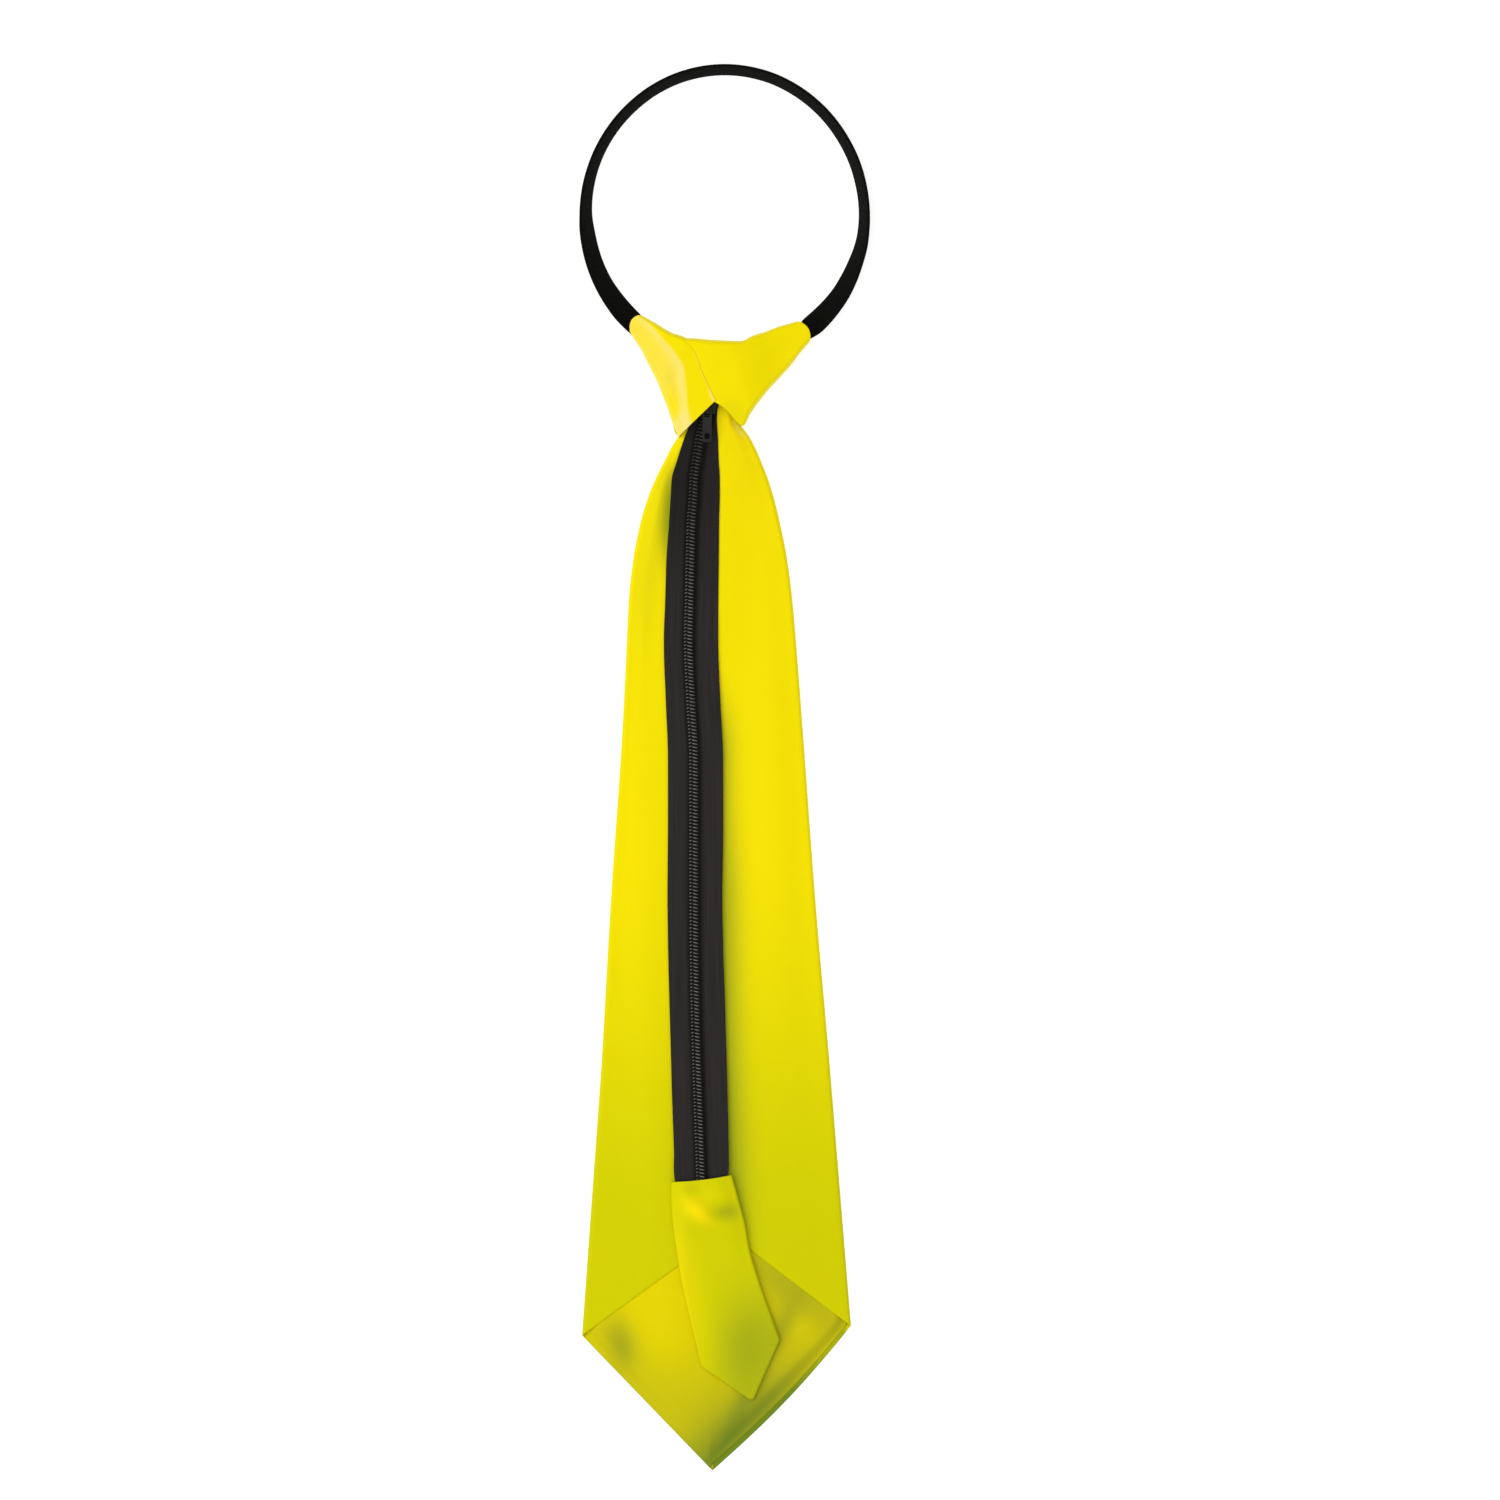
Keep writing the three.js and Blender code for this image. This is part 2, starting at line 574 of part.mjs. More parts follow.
// The pull tab, about its hinge: a cross bar under the bridge, a slot for the bridge, and a
// square hole near the free end
function pullGeometry() {
  const bar = PULL_THICK / 2;
  const through = PULL_THICK * 3;
  const tab = box(PULL_WIDE, PULL_LENGTH + bar, PULL_THICK, 0, (bar - PULL_LENGTH) / 2, 0);
  const slot = box(PULL_SLOT_WIDE, PULL_SLOT_END - bar, through, 0, -(PULL_SLOT_END + bar) / 2, 0);
  const hole = box(PULL_HOLE, PULL_HOLE, through, 0, PULL_HOLE_FROM_END - PULL_LENGTH, 0);
  return geometryOf(solid(tab).subtract(solid(slot)).subtract(solid(hole)));
}

function tailSections(rows, inset) {
  return rows.map((row) => foldedSection(
    new THREE.Vector2(row.leftX, row.leftY), new THREE.Vector2(row.rightX, row.rightY),
    TAIL_BASE_Z, row.height, [row.edge, row.edge], inset));
}

// The tail: hollow from its mouth to its shoulders
function tailGeometry() {
  const inside = tailSections(TAIL.slice(0, -1), TAIL_WALL);
  const mouth = inside[0].map((p, k) => p.clone().lerp(inside[1][k], -1));
  return geometryOf(solid(loft(tailSections(TAIL, 0)))
    .subtract(solid(loft([mouth, ...inside]))));
}

// The elastic band, a flat strip standing on its edge and leaning out at the ears
function bandGeometry() {
  const start = BAND[0].angle;
  const end = BAND.at(-1).angle;
  return loft(Array.from({ length: BAND_STEPS + 1 }, (_, k) => {
    const angle = start + ((end - start) * k) / BAND_STEPS;
    const [radius, seen, base] = ['radius', 'seen', 'base']
      .map((column) => between(BAND, 'angle', angle, column));
    const diagonal = Math.hypot(BAND_WIDE, BAND_THICK);
    const lean = Math.asin(seen / diagonal) - Math.atan2(BAND_THICK, BAND_WIDE);
    const turn = THREE.MathUtils.degToRad(angle);
    const out = new THREE.Vector3(Math.cos(turn), Math.sin(turn), 0);
    const up = new THREE.Vector3(0, 0, 1);
    const wide = up.clone().multiplyScalar(Math.cos(lean)).addScaledVector(out, Math.sin(lean));
    const thick = out.clone().multiplyScalar(Math.cos(lean)).addScaledVector(up, -Math.sin(lean));
    const middleZ = base + (BAND_WIDE * Math.cos(lean) + BAND_THICK * Math.sin(lean)) / 2;
    const middle = out.clone().multiplyScalar(radius).add(new THREE.Vector3(0, LOOP_CENTRE_Y, middleZ));
    return [[-1, -1], [1, -1], [1, 1], [-1, 1]].map(([t, w]) => middle.clone()
      .addScaledVector(thick, (t * BAND_THICK) / 2)
      .addScaledVector(wide, (w * BAND_WIDE) / 2));
  }));
}

// The finishes
const satin = (color) => new THREE.MeshStandardMaterial({ color, roughness: 0.42, metalness: 0 });
const tape = () => new THREE.MeshStandardMaterial({ color: 0x262421, roughness: 0.85, metalness: 0 });
const coil = () => new THREE.MeshStandardMaterial({ color: 0x2c2a28, roughness: 0.45, metalness: 0 });
const enamel = () => new THREE.MeshStandardMaterial({ color: 0x2e2e2b, roughness: 0.4, metalness: 0.3 });
const elastic = () => new THREE.MeshStandardMaterial({ color: 0x171614, roughness: 0.9, metalness: 0 });

function piece(name, geometry, material) {
  const mesh = new THREE.Mesh(geometry, material);
  mesh.name = name;
  return mesh;
}

// The assembly
const group = new THREE.Group();
group.add(piece('blade', bladeGeometry(), satin(0xf2e400)));
group.add(piece('tipping', tippingGeometry(), satin(0xdcc803)));
group.add(piece('knot_front', knotFrontGeometry(), satin(0xf6e705)));
group.add(piece('knot_wrap_left', knotBackGeometry(-1), satin(0xfbe90a)));
group.add(piece('knot_wrap_right', knotBackGeometry(1), satin(0xf4e200)));
group.add(piece('tail', tailGeometry(), satin(0xc3c50a)));
group.add(piece('zip_tape_left', tapeGeometry(-1), tape()));
group.add(piece('zip_tape_right', tapeGeometry(1), tape()));
group.add(piece('zip_coil_left', coilGeometry(-1), coil()));
group.add(piece('zip_coil_right', coilGeometry(1), coil()));
group.add(piece('slider_body', sliderGeometry(), enamel()));
group.add(piece('neck_band', bandGeometry(), elastic()));

const pull = new THREE.Group();
pull.position.set(SLIDER_X, HINGE_Y, HINGE_Z);
pull.rotation.x = THREE.MathUtils.degToRad(PULL_REST_TILT);
pull.add(piece('slider_pull', pullGeometry(), enamel()));
group.add(pull);

export default group;
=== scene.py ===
# %% [markdown]
# # A ready-tied neck tie with a zip and an elastic loop
# The real thing is a satin tie for people who don't tie one. The loop goes over the head, and the
# zip down the back draws it up behind a knot that never comes undone. It lies on its front here,
# so its back shows: two flaps folded to the middle, a long black zip over them, and the tail.
#
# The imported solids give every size. Each piece of cloth below is worked out as a surface in the
# same millimetres, and stands where its solid stands.

import bpy
import numpy as np
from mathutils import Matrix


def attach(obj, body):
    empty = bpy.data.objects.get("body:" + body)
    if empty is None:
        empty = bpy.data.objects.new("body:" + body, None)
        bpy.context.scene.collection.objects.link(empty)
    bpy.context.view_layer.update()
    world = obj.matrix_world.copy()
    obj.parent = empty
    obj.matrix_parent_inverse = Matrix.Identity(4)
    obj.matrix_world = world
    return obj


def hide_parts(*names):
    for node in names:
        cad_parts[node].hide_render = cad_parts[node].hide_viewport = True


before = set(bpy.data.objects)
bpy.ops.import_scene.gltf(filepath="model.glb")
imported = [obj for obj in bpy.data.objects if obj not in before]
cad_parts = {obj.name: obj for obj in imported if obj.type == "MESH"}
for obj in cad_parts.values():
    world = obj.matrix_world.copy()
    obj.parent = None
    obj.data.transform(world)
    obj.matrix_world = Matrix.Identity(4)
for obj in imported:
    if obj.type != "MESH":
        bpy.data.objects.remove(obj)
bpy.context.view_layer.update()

MM = 0.001
print("solids:", sorted(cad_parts))

# %% [markdown]
# ## Where the camera stands
# The photograph looks straight down on the tie. One of its pixels is 0.43 mm on the table, and the
# middle of the tie's outline is at one known pixel, so the camera's place follows from the two. A
# long lens keeps the raised knot from spreading outwards.

# %% Camera
PHOTO_SIDE = 1500
PIXEL = 0.43 * MM
TIE_MIDDLE_PIXEL = (724.5, 766.5)
LENS = 250
SENSOR = 36
FOCUS_HEIGHT = 4 * MM

view_x = (PHOTO_SIDE / 2 - TIE_MIDDLE_PIXEL[0]) * PIXEL
view_y = (TIE_MIDDLE_PIXEL[1] - PHOTO_SIDE / 2) * PIXEL
camera = bpy.data.objects.new("camera", bpy.data.cameras.new("camera"))
camera.data.lens = LENS
camera.data.sensor_width = SENSOR
camera.location = (view_x, view_y, FOCUS_HEIGHT + PHOTO_SIDE * PIXEL * LENS / SENSOR)
bpy.context.scene.collection.objects.link(camera)
bpy.context.scene.camera = camera
print(f"camera {camera.location.z:.2f} m up, sees {PHOTO_SIDE * PIXEL:.3f} m")

# %% [markdown]
# ## Floor and light
# The photograph has a pure white ground and soft light with one stronger side, the left: folds
# and rims are bright on that side and there is a soft shade to the right of the zip and the tail.
# A wide lamp there gives the shade and an even white sky fills it. A light table under the tie
# keeps the ground white with hardly any shadow, so the floor is a sheet that glows.

# %% Light
SKY_STRENGTH = 0.52
KEY_PLACE = (-1.15, -0.05, 2.57)
KEY_AIM = (0.0, 0.05, 0.0)
KEY_SIZE = 3.8
KEY_POWER = 58
FLOOR_SIDE = 8.0
FLOOR_DROP = 0.3 * MM
FLOOR_GLOW = 0.80

scene = bpy.context.scene
scene.view_settings.view_transform = "Standard"
sky = bpy.data.worlds.new("soft_white_sky")
sky.use_nodes = True
sky.node_tree.nodes["Background"].inputs["Strength"].default_value = SKY_STRENGTH
sky.node_tree.nodes["Background"].inputs["Color"].default_value = (1, 1, 1, 1)
scene.world = sky

key = bpy.data.objects.new("key_lamp", bpy.data.lights.new("key_lamp", "AREA"))
key.data.size = KEY_SIZE
key.data.energy = KEY_POWER
key.location = KEY_PLACE
aim = key.location.copy()
aim.x, aim.y, aim.z = (a - b for a, b in zip(KEY_AIM, KEY_PLACE))
key.rotation_euler = aim.to_track_quat("-Z", "Y").to_euler()
scene.collection.objects.link(key)
print(f"lamp {KEY_SIZE} m wide at {KEY_POWER} W, sky at {SKY_STRENGTH}")


# %% [markdown]
# ## Materials start from one shader
# Every finish is a Principled shader. What is the same all over the piece is set on its sockets,
# and only what changes over the surface comes through nodes. Clicking nodes together by hand would
# do as well, but a helper that adds one node and feeds it keeps each finish to a few lines.

# %% A plain finish
def feed(tree, socket, value):
    """Links a socket to another node's output, or gives it a value. A colour gets an alpha of 1."""
    if isinstance(value, bpy.types.NodeSocket):
        tree.links.new(value, socket)
    else:
        socket.default_value = (*value, 1) if socket.type == "RGBA" else value


def add(tree, kind, inputs=(), **settings):
    """The outputs of a new node, with its settings made and its inputs fed by name or number."""
    node = tree.nodes.new("ShaderNode" + kind)
    for setting, value in settings.items():
        setattr(node, setting, value)
    for socket, value in dict(inputs).items():
        feed(tree, node.inputs[socket], value)
    return node.outputs


def finish_of(name, colour, roughness, **sockets):
    """A Principled material, with other sockets given by name with _ for a space."""
    material = bpy.data.materials.new(name)
    material.use_nodes = True
    tree = material.node_tree
    surface = tree.nodes["Principled BSDF"].inputs
    for socket, value in dict(sockets, Base_Color=colour, Roughness=roughness).items():
        feed(tree, surface[socket.replace("_", " ")], value)
    return material, tree, surface


# %% The floor
def mesh_piece(name, points, faces, material):
    """A smooth mesh from an array of points in metres, as an object at the origin."""
    mesh = bpy.data.meshes.new(name)
    mesh.from_pydata(points.reshape(-1, 3).tolist(), [], faces)
    mesh.shade_smooth()
    mesh.materials.append(material)
    piece = bpy.data.objects.new(name, mesh)
    scene.collection.objects.link(piece)
    return piece


floor_paper, *_ = finish_of("floor_paper", (0.4, 0.4, 0.4), 0.9, Specular_IOR_Level=0.0,
                            Emission_Color=(1, 1, 1), Emission_Strength=FLOOR_GLOW)
half = FLOOR_SIDE / 2
corners = [(-half, -half), (half, -half), (half, half), (-half, half)]
floor = mesh_piece("floor", np.array([(x, y, -FLOOR_DROP) for x, y in corners]), [(0, 1, 2, 3)],
                   floor_paper)
print(f"floor {FLOOR_SIDE:.0f} m square, glowing at {FLOOR_GLOW}")

# %% [markdown]
# ## Woven cloth close up
# Satin, zip tape and elastic are all woven, and differ only in how fine their threads are and how
# far the threads float. One group makes the relief of a weave from a place on the cloth in metres:
# ribs along the piece, picks across it, and long random streaks along the threads, which the black
# cloths also show as lighter threads. Each material gives it its own threads per metre.

# %% The weave group
def effect_group(name, taken, given):
    """An empty node group. Its sockets are given as a name and a kind of value."""
    group = bpy.data.node_groups.new(name, "ShaderNodeTree")
    for way, sockets in (("INPUT", taken), ("OUTPUT", given)):
        for socket, kind in sockets.items():
            group.interface.new_socket(socket, in_out=way, socket_type="NodeSocket" + kind)
    return (group, group.nodes.new("NodeGroupInput").outputs,
            group.nodes.new("NodeGroupOutput").inputs)


def weave_group():
    """Height is a rib wave along u times a pick wave along v, plus streaks of stretched noise."""
    group, taken, given = effect_group(
        "woven_threads",
        {"Place": "Vector", "Ribs": "Float", "Picks": "Float", "Streak Size": "Vector"},
        {"Height": "Float", "Streak": "Float"})

    def math(operation, *values):
        """One value worked out from one or two others."""
        return add(group, "Math", dict(enumerate(values)), operation=operation)[0]

    def wave(place, count):
        """A sine that goes round so many times in a metre."""
        return math("SINE", math("MULTIPLY", math("MULTIPLY", place, count), 2 * np.pi))

    u, v, _ = add(group, "SeparateXYZ", {0: taken["Place"]})
    rib, pick = wave(u, taken["Ribs"]), wave(v, taken["Picks"])
    stretched = add(group, "VectorMath", {0: taken["Place"], 1: taken["Streak Size"]},
                    operation="MULTIPLY")
    streak = add(group, "TexNoise", {"Vector": stretched[0], "Scale": 1, "Detail": 3})[0]
    relief = math("ADD", math("ABSOLUTE", rib), math("MULTIPLY", math("MULTIPLY", rib, pick), 0.5))
    feed(group, given["Height"], math("ADD", math("MULTIPLY", relief, 0.6), streak))
    feed(group, given["Streak"], streak)
    return group


woven_threads = weave_group()
print("weave group:", len(woven_threads.nodes), "nodes")


# %% The weave in a material
def weave_on(tree, ribs, picks, streak_size):
    """The weave on the piece's own UV map, which holds metres on the cloth."""
    place = add(tree, "UVMap", uv_map="cloth")[0]
    return add(tree, "Group", {"Place": place, "Ribs": ribs, "Picks": picks,
                               "Streak Size": streak_size}, node_tree=woven_threads)


def shade_on(tree):
    """The attribute that holds how much painted shade each point has, below 0 painted highlight."""
    return add(tree, "Attribute", attribute_name="shade")["Fac"]


def bump_from(tree, surface, height, depth_mm):
    """A relief as deep as given where the height is 1."""
    bump = add(tree, "Bump", {"Distance": depth_mm * MM, "Height": height})[0]
    feed(tree, surface["Normal"], bump)


# %% [markdown]
# ## The yellow satin
# The satin's light and shade are painted into its colour. A neon dye glows warm yellow where
# light falls on it and turns greenish where light has to come through the cloth or bounce in from
# its neighbours, so the painted shade in folds and at the far end of the tie is green and not
# brown. The colour is mixed from a few shades of the dye. Lit and dim follow the length of the tie:
# a painted fall of light towards the point. The others follow an attribute, "shade", that each
# surface's own formula fills in: above 0 it is painted shade in dips and beside raised parts, which
# turns olive, and below 0 a painted highlight on a crest, which turns bright and then pale. The
# lining has the same dye in its own shades, so the dye is a group that both satins use.

# %% Satin material
# Painted colours: lit and dim paint light falling off down the tie, then painted shade and highlights.
DYE_PAINTED_LIT = (0.94, 0.78, 0.002)
DYE_PAINTED_DIM = (0.665, 0.645, 0.002)
DYE_PAINTED_SHADE = (0.17, 0.265, 0.016)
DYE_PAINTED_HIGHLIGHT = (0.98, 0.77, 0.004)
DYE_PAINTED_PALE_HIGHLIGHT = (0.95, 0.80, 0.20)
SATIN_METALLIC = 0.15
SATIN_ROUGHNESS = 0.40
SATIN_WEAVE = (2600, 3400, (900, 60, 1))
SATIN_RELIEF = 0.02
PAINTED_LIT_UP_TO_Y = -0.03
PAINTED_DIM_FROM_Y = -0.21


def mixed(tree, factor, first, second):
    """Two colours mixed by a factor."""
    return add(tree, "Mix", {"Factor": factor, 6: first, 7: second}, data_type="RGBA")[2]


def ranged(tree, value, start, full, curve="LINEAR"):
    """0 where the value is at its start, 1 where it is full."""
    return add(tree, "MapRange", {"Value": value, "From Min": start, "From Max": full},
               interpolation_type=curve)[0]


def painted_light_dye_group():
    """Painted light: lit to dim along the tie, then to painted shade by a shade above 0. A shade
    below 0 paints a highlight, bright at -0.5 and pale at -1."""
    group, taken, given = effect_group(
        "neon_dye_with_painted_light",
        {"Place": "Vector", "Shade": "Float", "Lit": "Color", "Deep": "Color", "Olive": "Color"},
        {"Colour": "Color"})
    _, y, _ = add(group, "SeparateXYZ", {0: taken["Place"]})
    along = ranged(group, y, PAINTED_LIT_UP_TO_Y, PAINTED_DIM_FROM_Y, "SMOOTHSTEP")
    colour = mixed(group, along, taken["Lit"], taken["Deep"])
    colour = mixed(group, taken["Shade"], colour, taken["Olive"])
    for start, full, crest in ((0, -0.5, DYE_PAINTED_HIGHLIGHT), (-0.5, -1, DYE_PAINTED_PALE_HIGHLIGHT)):
        colour = mixed(group, ranged(group, taken["Shade"], start, full), colour, crest)
    feed(group, given["Colour"], colour)
    return group


neon_dye_with_painted_light = painted_light_dye_group()


def satin_of(name, lit, deep, olive):
    """A satin with light and shade painted into its dye, and the relief of its fine weave."""
    material, tree, surface = finish_of(name, lit, SATIN_ROUGHNESS, Specular_IOR_Level=0.06,
                                        Specular_Tint=(1.0, 0.93, 0.15), Metallic=SATIN_METALLIC)
    place = add(tree, "TexCoord")["Object"]
    dye = add(tree, "Group", {"Place": place, "Shade": shade_on(tree), "Lit": lit, "Deep": deep,
                              "Olive": olive}, node_tree=neon_dye_with_painted_light)
    feed(tree, surface["Base Color"], dye["Colour"])
    bump_from(tree, surface, weave_on(tree, *SATIN_WEAVE)["Height"], SATIN_RELIEF)
    return material


yellow_satin = satin_of("yellow_satin", DYE_PAINTED_LIT, DYE_PAINTED_DIM, DYE_PAINTED_SHADE)
# The lining's lit and deep colours paint its light down the tie, and its olive its painted shade.
lining_satin = satin_of("lining_satin", lit=(0.82, 0.69, 0.002), deep=(0.76, 0.65, 0.002),
                        olive=(0.15, 0.235, 0.020))
print("satins:", yellow_satin.name, lining_satin.name)

# %% [markdown]
# ## Surfaces from numpy
# Each piece of cloth is a grid of points in millimetres. A table gives its outline at a few named
# places, and a smooth curve between the rows gives it everywhere else. The curve's slope at a row
# is the harmonic mean of the slopes on both sides, so it never bulges past the rows.

# %% Tables and smooth curves
def table(columns, rows):
    """The rows as one array for each named column."""
    return dict(zip(columns.split(), np.array(rows, float).T))


def smooth(at, key, value):
    """Cubic pieces through the rows (key, value), with harmonic mean slopes at the rows."""
    order = np.argsort(key)
    key, value = key[order], value[order]
    step = np.diff(key)
    slope = np.diff(value) / step
    same_way = slope[:-1] * slope[1:] > 0
    mean = np.zeros(len(slope) - 1)
    mean[same_way] = 2 / (1 / slope[:-1][same_way] + 1 / slope[1:][same_way])
    tangent = np.concatenate([[slope[0]], mean, [slope[-1]]])
    at = np.clip(at, key[0], key[-1])
    i = np.clip(np.searchsorted(key, at, side="right") - 1, 0, len(step) - 1)
    t = (at - key[i]) / step[i]
    return (value[i] * (1 + 2 * t) * (1 - t) ** 2 + step[i] * tangent[i] * t * (1 - t) ** 2
            + value[i + 1] * t ** 2 * (3 - 2 * t) + step[i] * tangent[i + 1] * t ** 2 * (t - 1))


def curves(at, key, rows, names):
    """The named columns of a table, each as a smooth curve at the given places along its key."""
    return [smooth(at, key, rows[name]) for name in names.split()]


def unit(vectors):
    """The vectors at length 1."""
    return vectors / np.maximum(np.linalg.norm(vectors, axis=-1, keepdims=True), 1e-12)


def ridge(distance, reach):
    """A bell across a line: 1 on it, and falling off as exp of minus the square of the distance."""
    return np.exp(-(distance / reach) ** 2)


def bells(x, y, named):
    """Height and painted shade of some bells over the plan. Each is its middle, its reach along and
    across its turn, the turn in degrees, and what it adds to height and to painted shade at its
    middle, where painted shade below 0 is a painted highlight."""
    height = shade = 0
    for middle_x, middle_y, reach, reach_across, turn, high, dark in named.values():
        c, s = np.cos(np.radians(turn)), np.sin(np.radians(turn))
        dx, dy = x - middle_x, y - middle_y
        bell = ridge(dx * c + dy * s, reach) * ridge(dy * c - dx * s, reach_across)
        height, shade = height + high * bell, shade + dark * bell
    return height, shade


def step_up(value, low, high):
    """0 below low, 1 above high, with a smooth S between."""
    t = np.clip((value - low) / (high - low), 0, 1)
    return t * t * (3 - 2 * t)


# %% From a grid to a Blender object
def cloth_places(points):
    """How far each point lies along the cloth from the grid's corner, in metres, as a UV map."""
    across = np.cumsum(np.linalg.norm(np.diff(points, axis=1), axis=-1), axis=1)
    along = np.cumsum(np.linalg.norm(np.diff(points, axis=0), axis=-1), axis=0)
    u = np.concatenate([np.zeros((len(points), 1)), across], axis=1)
    v = np.concatenate([np.zeros((1, points.shape[1])), along], axis=0)
    return np.stack([u, v], -1) * MM


def cell_faces(index, flip=False):
    """The four corners of every cell in a grid of point numbers."""
    corners = [index[..., :-1, :-1], index[..., :-1, 1:], index[..., 1:, 1:], index[..., 1:, :-1]]
    return np.stack(corners[::-1] if flip else corners, -1).reshape(-1, 4).tolist()


def grid_piece(name, points, material, shade=None, thick=0.0, closed=False, flip=False):
    """A mesh with one face for each cell of the grid. A thick one grows its wall inwards."""
    rows, columns = points.shape[:2]
    index = np.arange(rows * columns).reshape(rows, columns)
    if closed:
        index = np.hstack([index, index[:, :1]])
    faces = cell_faces(index, flip)
    piece = mesh_piece(name, points * MM, faces, material)
    mesh = piece.data
    corner = np.empty(len(mesh.loops), int)
    mesh.loops.foreach_get("vertex_index", corner)
    places = cloth_places(points).reshape(-1, 2)
    mesh.uv_layers.new(name="cloth").data.foreach_set("uv", places[corner].ravel())
    dips = mesh.attributes.new("shade", "FLOAT", "POINT")
    dips.data.foreach_set("value", np.zeros(rows * columns) if shade is None else shade.ravel())
    if thick:
        wall = piece.modifiers.new("wall", "SOLIDIFY")
        wall.thickness = thick * MM
        wall.offset = -1
    diagonals = points[1:, 1:] - points[:-1, :-1], points[1:, :-1] - points[:-1, 1:]
    area = np.linalg.norm(np.cross(*diagonals), axis=-1).sum() / 2
    wide, long = places.max(0)
    print(f"{name}: {len(faces)} faces, {wide:.3f} x {long:.3f} m of cloth, {area * MM * MM:.4f} m2")
    return piece


def turned_edge(grid, radius, back, side, steps=6):
    """More rows past the last one: the cloth turns round a half circle and runs back under itself.
    Out is the way past the edge, square to it; under is square to the cloth, on the given side."""
    edge = grid[-1]
    along = unit(np.gradient(edge, axis=0))
    out = edge - grid[-2]
    out = unit(out - (out * along).sum(-1, keepdims=True) * along)
    under = side * unit(np.cross(out, along))
    turn = np.linspace(-np.pi / 2, np.pi / 2, steps + 1)[1:, None, None]
    bend = edge + radius * (out * np.cos(turn) + under * (1 + np.sin(turn)))
    share = np.array([0.34, 0.67, 1.0])[:, None, None]
    inside = bend[-1] - out * share * np.broadcast_to(back, edge.shape[:1])[:, None]
    return np.concatenate([grid, bend, inside])


# %% [markdown]
# ## The blade
# The blade is one piece of satin folded lengthwise: the front lies on the table, both sides fold
# over to the back, and the two flaps meet under the zip. A block would show flat walls and no
# hem, and a simulation would not keep the measured outline. So the cloth is worked out as its
# threads: each column of the grid is one lengthwise thread, from inside the knot down to the
# cut edge. Threads of the flaps end on the two slanting edges, threads of the front end on the V,
# and past its end each one turns into the hem. Unfolded, both edges are one straight cut.
#
# Each cloth prints how long it is across and along its threads, and its area.

# %% Blade tables
SATIN_THICK = 0.18
BLADE = table("y left right base height edge", [
    (163, -16, 4, 2.4, 8.4, 1.5), (147.5, -18.2, 6.4, 2.4, 8.4, 1.5),
    (144.8, -18.9, 8.4, 2.4, 8.3, 1.5), (141.7, -20, 10.7, 2.4, 8, 1.5),
    (139.5, -21.5, 12, 2.2, 7.7, 1.5), (136, -23.5, 13.7, 2, 7.4, 1.5),
    (131.8, -25.6, 15.5, 1.6, 6.9, 1.5), (123.2, -29.9, 18.9, 0.8, 6, 1.5),
    (114.6, -33.3, 21.5, 0.3, 5.2, 1.5), (106, -35.9, 23.6, 0, 4.8, 1.5),
    (88.8, -39.3, 27, 0, 4.2, 1.4), (71.6, -41.2, 29.2, 0, 3.8, 1.3), (45.8, -42.4, 31.4, 0, 3.6, 1.2),
    (11.4, -44.2, 34, 0, 3.6, 1.2), (-57.4, -48.9, 39.1, 0, 3.6, 1.2),
    (-126.2, -52.8, 45.1, 0, 3.6, 1.2)])
SEAM = table("y x", [(163, -7.4), (147, -8.4), (123, -12.8), (88, -14.4), (54, -15.2),
                     (3, -12.9), (-57, -12.8), (-126, -11.6)])
POINT_LEFT = np.array([-61.5, -244.7])
POINT_RIGHT = np.array([54.6, -240.6])
POINT_TIP = np.array([-5.2, -303.0])
POINT_BULGE = 2.1
FLAPS_CROSS = np.array([0.6, -199.7])
HEM_RADIUS = 0.2
FLAP_END_Z = 2.4
HEM_LEFT = 0.9
HEM_RIGHT = 2.8
HEM_INSIDE = 6.0


def line_y(first, second, x):
    """y of the line through two points, at x."""
    return first[1] + (second[1] - first[1]) * (x - first[0]) / (second[0] - first[0])


def from_corner(left_half, middle, x):
    """y at x on the line from the left or the right corner of the open point to one in between."""
    return np.where(left_half, line_y(POINT_LEFT, middle, x), line_y(POINT_RIGHT, middle, x))


def right_edge(x, y):
    """Places on the straight right side of the V, moved out to its shallow arc."""
    share = np.clip((x - POINT_TIP[0]) / (POINT_RIGHT[0] - POINT_TIP[0]), 0, 1)
    bulge = POINT_BULGE * np.sin(np.pi * share) * (x > POINT_TIP[0])
    side = unit(POINT_RIGHT - POINT_TIP)
    return x + bulge * side[1], y - bulge * side[0]


# %% The threads across one section
def blade_columns(flap, bend, front):
    """For each thread: its part of the section, and how far it is through that part.
    Parts run seam, left flap, left fold, front to the tip, front, right fold, right flap, seam."""
    def share(count):
        """Even steps from 0 to just before 1."""
        return np.arange(count) / count

    shares = [share(flap), share(bend), share(front), share(front), share(bend),
              np.linspace(0, 1, flap + 1)]
    return np.repeat(np.arange(6), [len(s) for s in shares]), np.concatenate(shares)


def blade_section(part, share, left, right, seam, tip, base, height, edge):
    """Plan x and height z across the blade. Flaps are level, folds are quarter turns of an
    ellipse as deep as half the height and as wide as the edge, the front lies on the base."""
    half = height / 2
    middle = base + half
    angle = np.where(part == 1, np.pi / 2 - share * np.pi, share * np.pi - np.pi / 2)
    inset = edge * (1 - np.cos(angle))
    fold_x = np.where(part == 1, left + inset, right - inset)
    x = np.select(
        [part == 0, part == 2, part == 3, part == 5],
        [seam + (left + edge - seam) * share, left + edge + (tip - left - edge) * share,
         tip + (right - edge - tip) * share, right - edge + (seam - right + edge) * share], fold_x)
    z = np.select([(part == 0) | (part == 5), (part == 2) | (part == 3)],
                  [middle + half, middle - half], middle + half * np.sin(angle))
    return x, z


